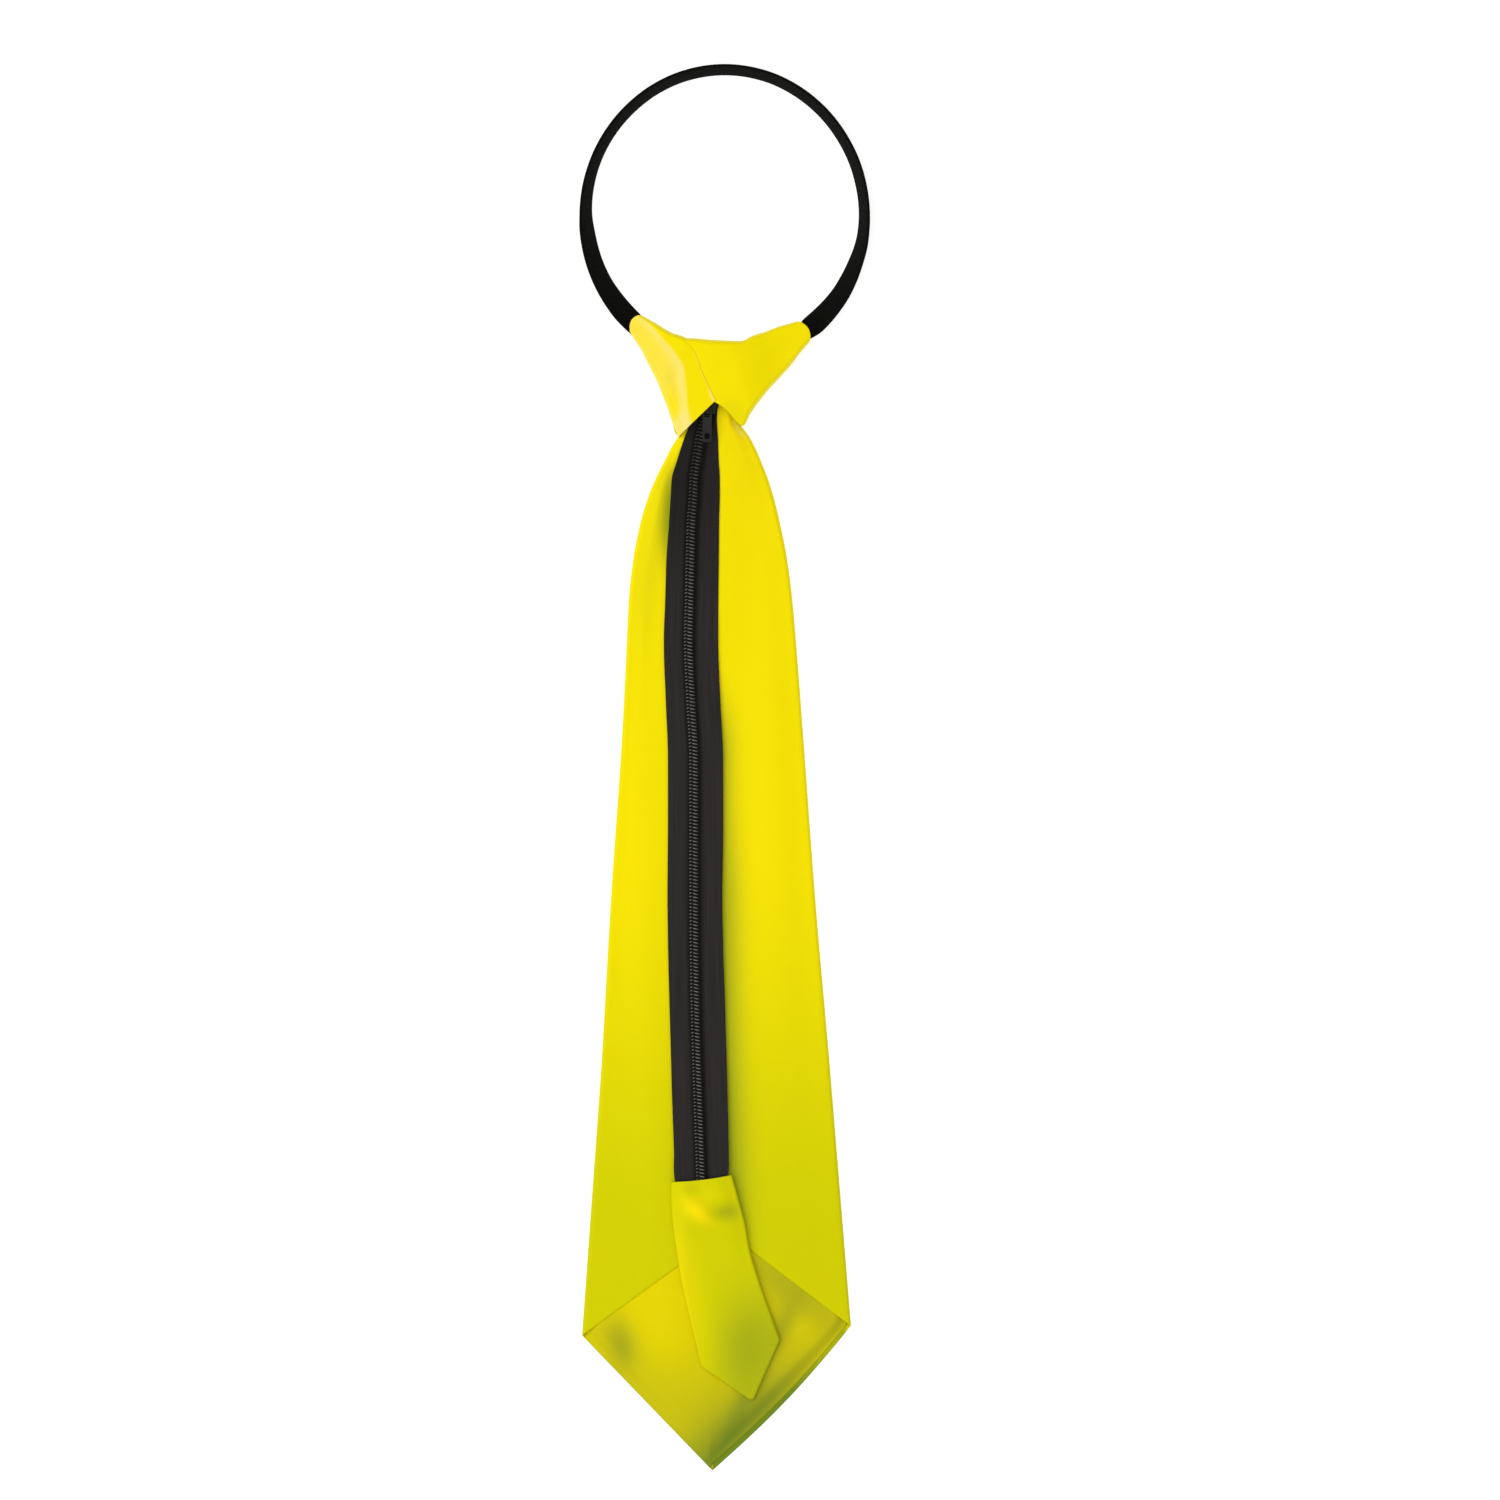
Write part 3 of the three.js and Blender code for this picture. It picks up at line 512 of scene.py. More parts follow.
# %% The whole blade as a grid
def blade_grid():
    """Level rows down to the last row of the table, then each thread runs straight to its end."""
    part, share = (c[None, :] for c in blade_columns(flap=46, bend=12, front=34))
    y = np.linspace(BLADE["y"][0], BLADE["y"][-1], 150)[:, None]
    left, right, base, height, edge = curves(y, BLADE["y"], BLADE, "left right base height edge")
    seam = smooth(y, SEAM["y"], SEAM["x"])
    tip_share = (POINT_TIP[0] - POINT_LEFT[0]) / (POINT_RIGHT[0] - POINT_LEFT[0])
    x, z = blade_section(part, share, left, right, seam, left + (right - left) * tip_share,
                         base, height, edge)
    upper = np.stack([x, np.broadcast_to(y, x.shape), z], -1)

    end_x, end_z = blade_section(part, share, POINT_LEFT[0] + HEM_RADIUS, POINT_RIGHT[0] - HEM_RADIUS,
                                 FLAPS_CROSS[0], POINT_TIP[0],
                                 *(BLADE[c][-1] for c in ("base", "height", "edge")))
    on_back = np.isin(part, (0, 5)) | ((part == 1) & (share < 0.5)) | ((part == 4) & (share > 0.5))
    end_y = np.where(on_back, from_corner(part < 3, FLAPS_CROSS, end_x),
                     from_corner(part < 3, POINT_TIP, end_x) + HEM_RADIUS * np.sqrt(2))
    arc_x, arc_y = right_edge(end_x, end_y)
    end_x, end_y = np.where(part == 3, arc_x, end_x), np.where(part == 3, arc_y, end_y)
    end_z = end_z * FLAP_END_Z / BLADE["height"][-1]
    end = np.stack([end_x, end_y, end_z], -1)
    down = np.linspace(0, 1, 62)[1:, None, None]
    lower = upper[-1:] + (end - upper[-1:]) * down
    return np.concatenate([upper, lower]), part[0], share[0]


# %% [markdown]
# The zip lies on the flaps, and they dip beside it. So one table holds its middle line, how far
# each tape reaches from it, its height and how far the tapes' outer edges lift, down the tie.

# %% Zip table
ZIP = table("y middle left right z left_lift right_lift parted", [
    (-192.9, -9.6, 10.6, 10.6, 4.6, -0.3, 0, 0), (-178.7, -9.8, 11.4, 11.1, 4.6, -0.3, 0, 0),
    (-175.5, -9.9, 11.8, 11.4, 4.6, -0.3, 0, 0), (-172.5, -10, 11.8, 11.85, 4.4, -0.3, 0.1, 0),
    (-166, -10.2, 11.5, 12, 4, -0.3, 0.2, 0), (-143.4, -11, 11.5, 12.35, 3.9, -0.3, 0.3, 0),
    (-121, -11.76, 11.35, 12.5, 3.9, -0.3, 0.3, 0), (-100.4, -12.3, 11.4, 12.45, 3.9, -0.3, 0.3, 0),
    (-80, -12.61, 11.6, 12.1, 3.9, -0.3, 0.35, 0), (-57.4, -12.8, 11.7, 11.85, 3.9, -0.3, 0.4, 0),
    (-25, -12.85, 11.45, 12.3, 3.9, -0.3, 0.35, 0), (2.8, -12.9, 11.4, 12.3, 3.9, -0.3, 0.3, 0),
    (28.6, -14.2, 11.05, 12.4, 3.9, -0.3, 0.4, 0), (54.4, -15.2, 10.9, 12.5, 4.1, 0.2, 0.3, 0),
    (71.6, -14.8, 10.7, 12.15, 4.3, 0.4, 0, 0), (88.8, -14.4, 10.6, 11.95, 4.8, 0.8, 0, 0),
    (106, -13.9, 9.85, 11.6, 5.4, 1.8, 0, 0), (114.6, -13.2, 10, 11.15, 6, 2.4, 0, 0),
    (123.2, -12.8, 9.9, 10.8, 7.1, 2.2, 0, 0), (131.8, -11.6, 8.65, 9.1, 8.5, 1.4, 0, 0),
    (141.7, -10, 7, 7.2, 10.2, 0.5, 0, 0), (147.5, -8.4, 6.2, 5.2, 10.7, 0.2, 0, 0),
    (150.5, -7.6, 5.6, 4.4, 10.9, 0, 0, 0), (152.5, -7.4, 5.4, 4.3, 10.9, 0, 0, 0),
    (156.5, -7.4, 6, 5.4, 10.9, 0, 0, 1.1), (160.2, -7.4, 6.2, 6, 10.9, 0, 0, 1.2)])


def zip_at(y, names):
    """The named measures of the zip at places along the tie."""
    return curves(y, ZIP["y"], ZIP, names)


print(f"zip: {np.ptp(ZIP['y']):.0f} mm in {len(ZIP['y'])} stations")

# %% [markdown]
# The flaps aren't quite flat. Beside the zip they dip, the right one swells a little in the middle,
# and at the knot the cloth gathers: a valley runs down the left of the zip and a short crease
# starts on its right. These are bells added to the height of the back alone, because the front is
# pressed to the table. The same bells paint shade into the dye, and highlights where their shade is
# below 0, and a soft painted shadow runs down each side of the zip.

# %% Folds of the flaps
TAPE_REACH_LEFT = 11.0
TAPE_REACH_RIGHT = 11.9
# The last number of each bell is painted shade, and below 0 a painted highlight.
FLAP_BELLS = {
    "right swell": (20, -60, 15, 130, 0, 0.7, 0),
    "left swell": (-34, -80, 8, 130, 2, 0.5, 0),
    "crease": (3, 121, 7, 1.6, -14, 0.35, -0.3),
    "left of the mouth": (-20, 148, 3, 10, 0, 1.0, 0),
    "below the mouth": (8, 146, 9, 6, -38, 0, -0.6),
    "left shoulder": (-34, 82, 6, 42, -8, 0, 0.15),
    "right shoulder": (14, 122, 11, 34, 16, 0, -0.25)}
MOUTH_BELL = {"right of the mouth": (4, 150, 14, 22, 0, 0.6, 0)}
# Here too the last number is painted shade, and below 0 a painted highlight.
LINING_BELLS = {
    "left swell": (-25, -240, 13, 26, 12, 0.8, -0.12),
    "right swell": (35, -241, 7.5, 4, 28, 0.5, -0.06),
    "dent": (-44.2, -248.4, 6.5, 11, 12, -0.3, 0.46),
    "between the swells": (25, -240, 6, 10, 0, 0, 0.25),
    "left corner": (-54, -243, 10, 6, 30, 0, 0.08),
    "beside the tail": (16, -258, 4, 26, -28, 0, 0.3),
    "below the right flap": (28, -224, 34, 9, -37, 0, 0.40)}


def blade_relief(x, y):
    """Height to add in millimetres and painted shade from -1 to 1, at a place on the back of the
    flaps: bells, a soft painted shadow along each side of the zip, and the rise of the cloth under
    the tapes."""
    middle, tape_z = zip_at(y, "middle z")
    past_right = x - middle - TAPE_REACH_RIGHT
    past_left = middle - TAPE_REACH_LEFT - x
    # Painted shadow beside the zip: wider and darker down the right side, a narrow band left near the
    # knot.
    beside_right = ridge(np.clip(past_right, 0, None), 6.5 + 2 * step_up(-y, 0, 60))
    beside_right *= step_up(y, -235, -200) * step_up(-y, -45, -5) * (x > middle)
    beside_right *= 1 + 0.25 * step_up(-y, 20, 60)
    beside_left = ridge(np.clip(past_left + 1, 0, None), 3.7) * (x < middle)
    beside_left *= step_up(y, 78, 106) * step_up(-y, -136, -113)
    up_to_tape = tape_z + 0.4 - smooth(y, BLADE["y"], BLADE["base"] + BLADE["height"])
    under_tape = np.clip(up_to_tape, 0, 4) * ridge(np.clip(past_right, 0, None), 12)
    height, shade = bells(x, y, FLAP_BELLS)
    height += (bells(x, y, MOUTH_BELL)[0] * step_up(past_right + 6.5, 0, 6)
               + under_tape * step_up(y, 20, 60) - 0.3 * beside_right - 0.6 * beside_left)
    return height, np.clip(shade + 0.50 * beside_right + 0.64 * beside_left, -1, 1)


def tipping_relief(x, y):
    """Height and painted shade of the lining: bells, a valley along the right side of the V with
    dark painted shade in it, and painted shade that grows towards the tip and to the right."""
    from_edge = np.abs((x - POINT_RIGHT[0]) * (POINT_TIP[1] - POINT_RIGHT[1])
                       - (y - POINT_RIGHT[1]) * (POINT_TIP[0] - POINT_RIGHT[0]))
    from_edge /= np.linalg.norm(POINT_TIP - POINT_RIGHT)
    valley = ridge(from_edge - 4, 14) * step_up(-y, 240, 290)
    side_valley = ridge(from_edge - 4, 2.6) * step_up(-y, 225, 250)
    height, shade = bells(x, y, LINING_BELLS)
    shade += (0.53 * valley + 0.12 * side_valley + 0.26 * step_up(-y, 228, 278)
              + 0.06 * step_up(x, 10, 20))
    return height - 0.3 * valley, np.clip(shade, -1, 1)


# %% Blade
points, part, share = blade_grid()
on_flap = np.isin(part, (0, 5))
from_fold = np.select([part == 0, part == 5], [1 - share, share], 0)
relief, blade_shade = blade_relief(points[..., 0], points[..., 1])
points[..., 2] += relief * step_up(from_fold, 0, 0.25)
blade_shade = blade_shade * on_flap
rows = len(points)
hem = np.where(part < 3, HEM_LEFT, HEM_RIGHT)
from_tip = np.linalg.norm(points[-1, :, :2] - POINT_TIP, axis=-1)
from_corners = np.abs(points[-1, :, 0] - np.where(part < 3, POINT_LEFT[0], POINT_RIGHT[0]))
hem = np.select([np.isin(part, (2, 3)), on_flap],
                [np.minimum(hem, from_tip * 0.8), np.minimum(HEM_INSIDE, from_corners)], HEM_RADIUS)
points = turned_edge(points, HEM_RADIUS, hem, 1)
# Along the right of the V the hem takes the lining's painted shade, made darker; elsewhere the blade's
# last row's.
_, hem_shade = tipping_relief(points[rows:, :, 0], points[rows:, :, 1])
hem_shade = np.where(part == 3, np.clip(1.4 * hem_shade + 0.1, 0, 1), blade_shade[-1:])
blade_shade = np.concatenate([blade_shade, hem_shade])
blade = grid_piece("blade_cloth", points, yellow_satin, blade_shade, SATIN_THICK)
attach(blade, "tie")
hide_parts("blade")

# %% [markdown]
# ## The tipping
# The tipping is the lining in the open point. It reaches from the hem of the V up under both flaps,
# and it is slack: it swells where it lies loose and falls away towards the right edge of the V.

# %% Tipping
TIPPING_THICK = 0.3
TIPPING_TOP = -168.0
TIPPING_LOW_Z = 0.5
TIPPING_RISE = 1.4
TIPPING_UNDER_HEM = 0.9
TIPPING_SIDES = (1.4, 1.8)
TIPPING_NARROWER = 5
TIPPING_LOOSE = 60


def tipping_grid():
    """Columns from one side of the V to the other, each a straight line from under the flaps to
    just under the hem of the V. It rises from there and lies close under the flaps' edges."""
    share = np.concatenate([np.linspace(0, 0.5, 60)[:-1], np.linspace(0.5, 1, 61)])[None, :]
    inset = np.where(share < 0.5, HEM_LEFT, HEM_RIGHT) - TIPPING_UNDER_HEM
    left, right = POINT_LEFT[0] + TIPPING_SIDES[0], POINT_RIGHT[0] - TIPPING_SIDES[1]
    end_x = np.where(share < 0.5, left + (POINT_TIP[0] - left) * share * 2,
                     POINT_TIP[0] + (right - POINT_TIP[0]) * (share * 2 - 1))
    end_y = from_corner(share < 0.5, POINT_TIP, end_x) + inset * np.sqrt(2)
    end_x, end_y = right_edge(end_x, end_y)
    top_x = left + TIPPING_NARROWER + (right - left - 2 * TIPPING_NARROWER) * share
    down = np.linspace(0, 1, 110)[:, None]
    x = top_x + (end_x - top_x) * down
    y = TIPPING_TOP + (end_y - TIPPING_TOP) * down
    to_hem = (1 - down) * (np.ptp(end_y) + TIPPING_LOOSE)
    relief, shade = tipping_relief(x, y)
    ease = step_up(to_hem, 2, 12) * step_up(share, 0, 0.05) * step_up(1 - share, 0, 0.05)
    under_flaps = np.minimum(line_y(POINT_LEFT, FLAPS_CROSS, x), line_y(POINT_RIGHT, FLAPS_CROSS, x))
    loose = step_up(under_flaps - y, -1, 5)
    return np.stack([x, y, TIPPING_LOW_Z + TIPPING_RISE * ease + relief * ease * loose], -1), shade


points, shade = tipping_grid()
tipping = grid_piece("tipping_lining", points, lining_satin, shade, TIPPING_THICK, flip=True)
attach(tipping, "tie")
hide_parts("tipping")

# %% [markdown]
# ## The knot
# The knot is a stiffened shell that cloth is wrapped round: a front panel, and two wraps that cross
# on the back, the left one over the right one. Each panel is a surface across a row of stations. A
# station is a line in plan from one side of the panel to the other. The cloth rises from its first
# point over a quarter of an ellipse, runs level, and goes down again at its last point, and each
# end has its own reach and depth. A deep end is a side of the knot, and a shallow one is a free
# edge that only rolls over. Modelling by hand would lose the outline, and a lofted block has no
# free edges.

# %% A panel across stations
STATION = "x1 y1 x2 y2 level reach1 depth1 reach2 depth2"


def panel(stations, rows, bend=9, flat=30, down=False):
    """Points of the panel, how far each is across from 0 to 1 and along in stations, and how much
    of a fold's height it takes: all of it where the cloth is level, less down the ends."""
    number = np.arange(len(stations["x1"]))
    along = np.linspace(0, number[-1], rows)[:, None]
    x1, y1, x2, y2, level, reach1, depth1, reach2, depth2 = curves(along, number, stations, STATION)
    angle = np.linspace(0, np.pi / 2, bend + 1)[None, :-1]
    back = angle[:, ::-1]
    share = np.linspace(0, 1, flat)[None, :]
    length = np.hypot(x2 - x1, y2 - y1)
    rise = reach1 * (1 - np.cos(angle))
    run = reach1 + (length - reach1 - reach2) * share
    fall = length - reach2 * (1 - np.cos(back))
    across = np.concatenate([rise, run, fall], axis=1) / length
    drop = np.concatenate([depth1 * (1 - np.sin(angle)), np.zeros_like(run),
                           depth2 * (1 - np.sin(back))], axis=1)
    z = level + drop if down else level - drop
    points = np.stack([x1 + (x2 - x1) * across, y1 + (y2 - y1) * across, z], -1)
    level_part = np.concatenate([np.sin(angle) ** 2, np.ones_like(share), np.sin(back) ** 2], axis=1)
    return points, across, along, level_part


def bulged_ear(points, across, along, bulge):
    """The rim of an ear is a shallow arc: its middle stands out past the line of its first row."""
    out = unit(points[0, :, :2].mean(0) - points[12, :, :2].mean(0))
    push = bulge * np.sin(np.pi * np.clip(across, 0, 1)) * np.clip(1 - along, 0, 1) ** 2
    points[..., :2] += push[..., None] * out
    return points


def turned_first(points, radius, back, side):
    """turned_edge on the first row of the grid."""
    return turned_edge(points[::-1], radius, back, side)[::-1]


# %% Knot tables
WRAP_THICK = 0.3
EDGE_ROLL = 0.2
HEM_RUN = 0.5
EAR_BULGE = 2.1
LEFT_WRAP = table(STATION, [
    (-35.6, 193.9, -40.6, 186.3, 15.6, 1.2, 8.6, 1.6, 8.6),
    (-29.9, 190.7, -36.3, 180, 16, 1.4, 8.9, 2.2, 8.9),
    (-22.6, 186.4, -32.9, 173.1, 17.2, 1.8, 9.6, 3.4, 9.6),
    (-16.6, 184.2, -29, 165.3, 18.4, 1.8, 10.5, 4, 10.5),
    (-12.7, 177.8, -26.4, 158.9, 18.95, 0.3, 0.1, 4.6, 11.5),
    (-9.7, 169.6, -24.3, 153.3, 19, 0.3, 0.1, 4.6, 12),
    (-6.7, 162.8, -22.6, 148.1, 19, 0.3, 0.1, 4.4, 12.2),
    (-3.7, 157.2, -20, 141.5, 19, 0.3, 0.1, 4, 12.4)])
RIGHT_WRAP = table(STATION, [
    (30.9, 191.2, 36.9, 182.7, 15.6, 1.2, 8.6, 1.2, 8.6),
    (28, 190.4, 33, 178.2, 15.9, 1.3, 8.8, 1.3, 8.8),
    (22.6, 188.8, 28.2, 171.9, 16.3, 1.4, 9.2, 1.4, 9.2),
    (17.4, 186.8, 23.1, 166.3, 16.9, 1.6, 9.6, 1.5, 9.6),
    (12.3, 185.2, 18.8, 161.6, 17.7, 1.8, 10, 1.6, 10),
    (6.7, 182.8, 14.5, 156.2, 18.5, 1.8, 10.4, 1.6, 10.6),
    (0.2, 183, 11.2, 151.4, 18.9, 1.8, 10.6, 1.6, 10.8),
    (-7.1, 183.4, 7.6, 146, 18.9, 1.8, 10.6, 1, 1),
    (-12.6, 183.9, -0.2, 153.6, 18.8, 1.8, 10.2, 0.8, 0.8),
    (-17.5, 184, -8, 158.5, 18.5, 1.8, 7, 0.8, 0.8)])
KNOT_FRONT = table(STATION, [
    (-35.4, 193, -40.3, 185.7, 0, 2.2, 7.6, 2.2, 7.6),
    (-29.9, 190, -36.8, 180.5, 0, 3, 7.8, 3, 7.8),
    (-22.6, 185.6, -32.3, 173.4, 0, 5, 8.4, 5.5, 8.4),
    (-16.6, 182.9, -28.2, 165.8, 0, 6, 8.8, 7, 8.8),
    (-11, 182.3, -23.8, 154.5, 0, 6, 9, 7, 9),
    (-7.5, 182.1, -20.2, 142.4, 0, 6, 9, 1.4, 1.4),
    (-1, 181.9, -6.5, 143.8, 0, 6, 9, 1, 1),
    (5, 181.7, 7.2, 146.4, 0, 6, 9, 1.4, 1.4),
    (9.5, 182.7, 13.8, 157, 0, 6, 9, 5, 9),
    (15.5, 185.1, 22.2, 167.3, 0, 5, 8.6, 5, 8.6),
    (25, 188.5, 30.4, 177.2, 0, 3, 7.8, 3, 7.8),
    (33.4, 191.2, 36.2, 183.6, 0, 2.2, 7.6, 2.2, 7.6)])
WRAP_FOLD = table("y x", [
    (195, -36), (188.6, -30.6), (178.2, -21.6), (166.2, -16.6), (151, -15.6), (140, -15.4)])
WRAP_LIP = table("y x", [(178, -13), (169.6, -9.7), (162.8, -6.7), (157.6, -4.1)])
print("knot stations:", len(LEFT_WRAP["x1"]), len(RIGHT_WRAP["x1"]), len(KNOT_FRONT["x1"]))


# %% Folds of the knot
RIGHT_WRAP_BELLS = {
    "swell": (14, 176, 13, 2.6, 32, 0.15, 0),
    "dip": (3, 171, 16, 4.5, 40, -0.15, 0),
    "right of the mouth": (4, 152, 7, 4.5, -40, 0, 0.11)}
FRONT_PLEATS = {
    "left pleat": (-14, 165, 2.6, 16, 20, 0.8, 0.25),
    "right pleat": (4, 165, 2.4, 16, -12, 0.6, 0.25)}


def beside(rows, x, y):
    """How far a place is to the right of a line that goes down the knot."""
    return x - smooth(y, rows["y"], rows["x"])


def left_wrap_relief(x, y, along):
    """The left wrap is folded over from its ear to the notch: it slopes down outside the fold. A
    painted highlight lies outside the fold and on it, and a painted pale rim runs along its free
    edge, which is hardly raised, and along the mouth."""
    from_fold = beside(WRAP_FOLD, x, y)
    outside = 1 - step_up(from_fold, -4.5, 0.3)
    crest = ridge(from_fold + 0.3, 2.3) * step_up(-y, -200, -186)
    lip = ridge(beside(WRAP_LIP, x, y) + 0.3, 0.7) * step_up(-y, -180, -172)
    pale = outside * step_up(-y, -202, -190) * (1 - 0.2 * step_up(-y, -162, -152))
    # The highlight is painted, as shade below 0.
    shine = 0.88 * crest + 0.64 * pale + 0.65 * lip + 0.25 * step_up(along, 6.4, 6.9)
    return 0.03 * lip - 1.5 * outside * step_up(-y, -194, -178), -np.clip(shine, 0, 1)


def right_wrap_relief(x, y, along):
    """A soft swell and dip, a slight painted shade at the mouth, and a fine painted bright line
    beside the edge of the left wrap that lies on this one."""
    height, shade = bells(x, y, RIGHT_WRAP_BELLS)
    painted_line_beside_lip = ridge(beside(WRAP_LIP, x, y) - 0.5, 0.6) * step_up(-y, -184, -176)
    return height, shade - 0.4 * painted_line_beside_lip


def front_relief(x, y, along):
    """Two soft pleats, pressed into the front of the knot, with painted shade in them."""
    return bells(x, y, FRONT_PLEATS)


# %% Knot pieces
def folded_panel(stations, rows, relief_of, down=False):
    """Points and shade of a panel with its folds. A wrap's ear gets its arc as well."""
    points, across, along, level_part = panel(stations, rows, down=down)
    relief, shade = relief_of(points[..., 0], points[..., 1], along)
    points[..., 2] += relief * level_part
    return points if down else bulged_ear(points, across, along, EAR_BULGE), shade


# Both rims of the left wrap are turned. Its painted shade starts at the rim inside the ear, and
# the last row of painted shade goes on over the rest.
points, shade = folded_panel(LEFT_WRAP, 110, left_wrap_relief)
points = turned_first(turned_edge(points, EDGE_ROLL, HEM_RUN, 1), EDGE_ROLL, HEM_RUN, -1)
shade = np.pad(shade, ((0, len(points) - len(shade)), (0, 0)), mode="edge")
wrap_left = grid_piece("knot_wrap_left_cloth", points, yellow_satin, shade, WRAP_THICK)

points, shade = folded_panel(RIGHT_WRAP, 120, right_wrap_relief)
points = turned_first(points, EDGE_ROLL, HEM_RUN, 1)
shade = np.pad(shade, ((len(points) - len(shade), 0), (0, 0)), mode="edge")
wrap_right = grid_piece("knot_wrap_right_cloth", points, yellow_satin, shade, WRAP_THICK, flip=True)

points, shade = folded_panel(KNOT_FRONT, 130, front_relief, down=True)
knot_front = grid_piece("knot_front_cloth", points, yellow_satin, shade, WRAP_THICK, flip=True)
for piece, node, flat, area, under in (
        (wrap_left, "knot_wrap_left", (0.038, 0.064), 0.0016, wrap_right),
        (wrap_right, "knot_wrap_right", (0.051, 0.076), 0.0021, knot_front),
        (knot_front, "knot_front", (0.048, 0.128), 0.0031, floor)):
    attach(piece, "tie")
    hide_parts(node)

# %% [markdown]
# ## The tail
# The narrow end of a tie is a flat pressed envelope with a pointed end. Here it is sewn down over
# the lower end of the zip, so its mouth stands up over the tape and it steps down below it, with a
# crease where it does. The envelope is one tube of flat sections with sharp round edges.

# %% Tail
TAIL_THICK = 0.5
TAIL_UNDER = 12
MOUTH_SAG = 0.5
TAIL_STATION = "x1 y1 x2 y2 base height edge"
TAIL = table(TAIL_STATION, [
    (-22.6, -178.6, 2.6, -175.7, 3.7, 3.7, 0.8), (-22.6, -184, 4.9, -184, 3.7, 3.6, 0.8),
    (-22, -195, 8.4, -197.2, 3.7, 3, 0.8), (-20.9, -203.6, 10.1, -207, 3.6, 2, 0.6),
    (-18.3, -220.8, 14.2, -220.8, 3.2, 1.5, 0.5), (-14.4, -238, 19.8, -236.5, 2.9, 1.3, 0.5),
    (-9.7, -257.8, 23.4, -246.6, 2.7, 1.2, 0.5)])
TAIL_TIP = (11.6, -272.2, 12.0, -272.0, 2.5, 1.0, 0.15)
# The last number of each bell is painted shade, and below 0 a painted highlight.
TAIL_BELLS = {
    "crumple with a painted highlight": (-11, -191.6, 7.5, 4, -38, 1.0, -0.5),
    "crumple with painted shade": (1.5, -191.6, 6.5, 3.6, 8, -0.8, 0.43),
    "left lip": (-18, -215, 2.4, 28, 8, 0.3, 0),
    "left side": (-17, -222, 6, 30, 12, 0, -0.26),
    "lower part": (8, -250, 13, 18, -20, 0, 0.16),
    "left corner": (-13, -182, 5, 2.6, -10, -0.4, 0.2),
    "painted highlight by the mouth": (-9, -184, 8, 4, 0, 0, -0.14)}


def tail_relief(x, y, from_left, from_right):
    """Height and painted shade of the tail: bells, edges that are pressed down where it lies on the
    zip, and painted shade that grows towards the lower right."""
    over_zip = step_up(y, -225, -190)
    height, shade = bells(x, y, TAIL_BELLS)
    height -= (1.5 * ridge(from_left, 3.5) + 1.1 * ridge(from_right, 4.5)) * over_zip
    shade += 0.38 * step_up(-y, 205, 250) * step_up(x, -12, 12)
    return height, np.clip(shade, -1, 1)


def tail_grid(rows=100, tip_rows=26, bend=8, flat=34):
    """Sections from the mouth to the shoulders along smooth edges, then straight to the tip."""
    number = np.arange(len(TAIL["x1"]))
    along = np.linspace(0, number[-1], rows)[:, None]
    upper = curves(along, number, TAIL, TAIL_STATION)
    down = np.linspace(0, 1, tip_rows + 1)[1:, None]
    lower = [part[-1:] + (end - part[-1:]) * down for part, end in zip(upper, TAIL_TIP)]
    x1, y1, x2, y2, base, height, edge = (np.concatenate(pair) for pair in zip(upper, lower))
    length = np.hypot(x2 - x1, y2 - y1)
    angle = np.linspace(-np.pi / 2, np.pi / 2, 2 * bend + 1)[None, :]
    back = angle[:, ::-1]
    top = np.linspace(0, 1, flat)[None, 1:-1]
    under = np.linspace(1, 0, TAIL_UNDER)[None, 1:-1]
    flat_run = length - 2 * edge
    across = np.concatenate([edge * (1 - np.cos(angle)), edge + flat_run * top,
                             length - edge * (1 - np.cos(back)), edge + flat_run * under], axis=1)
    lift = np.concatenate([np.sin(angle), np.ones_like(top), np.sin(back), -np.ones_like(under)],
                          axis=1)
    x, y = x1 + (x2 - x1) * across / length, y1 + (y2 - y1) * across / length
    from_mouth = np.arange(rows + tip_rows)[:, None] / rows * number[-1]
    y = y - MOUTH_SAG * np.sin(np.pi * across / length) * np.clip(1 - from_mouth, 0, 1)
    relief, shade = tail_relief(x, y, across, length - across)
    z = base + height / 2 * (1 + lift) + relief * np.clip(lift, 0, 1) * step_up(length, 0, 20)
    return np.stack([x, y, z], -1), shade


points, shade = tail_grid()
tail_cloth = grid_piece("tail_cloth", points, yellow_satin, shade, TAIL_THICK, closed=True)
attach(tail_cloth, "tie")
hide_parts("tail")

# %% [markdown]
# ## The zip
# A coil zip is two woven tapes with a nylon thread wound along each inner edge into a flat spiral.
# The loops of one spiral lock between the loops of the other, so from above each side is a row of
# slanting bars with bright bends, and the middle is a fine zigzag. The tape is sewn to the blade by
# one row of stitches on each side. Spirals are worked out as tubes along a formula; teeth copied
# one by one would weigh the same and lose the slant.
#
# Tape and elastic are dull black weaves, and the nylon is smoother and shines a little. The bright
# bends of the coils are painted highlights, and the rest of each coil is painted shade. The specks
# of the nylon come back on the slider's enamel, so they are a group like the weave.

# %% Black finishes
# The black that painted shade turns a black finish to.
PAINTED_SHADE_BLACK = (0.004, 0.0035, 0.003)


def woven_black(name, colour, light_colour, roughness, gloss, weave, depth):
    """A black cloth, lighter along some threads, painted darker by its shade attribute, with its
    weave.
    """
    material, tree, surface = finish_of(name, colour, roughness, Specular_IOR_Level=gloss)
    woven = weave_on(tree, *weave)
    threads = mixed(tree, woven["Streak"], colour, light_colour)
    feed(tree, surface["Base Color"], mixed(tree, shade_on(tree), threads, PAINTED_SHADE_BLACK))
    bump_from(tree, surface, woven["Height"], depth)
    return material


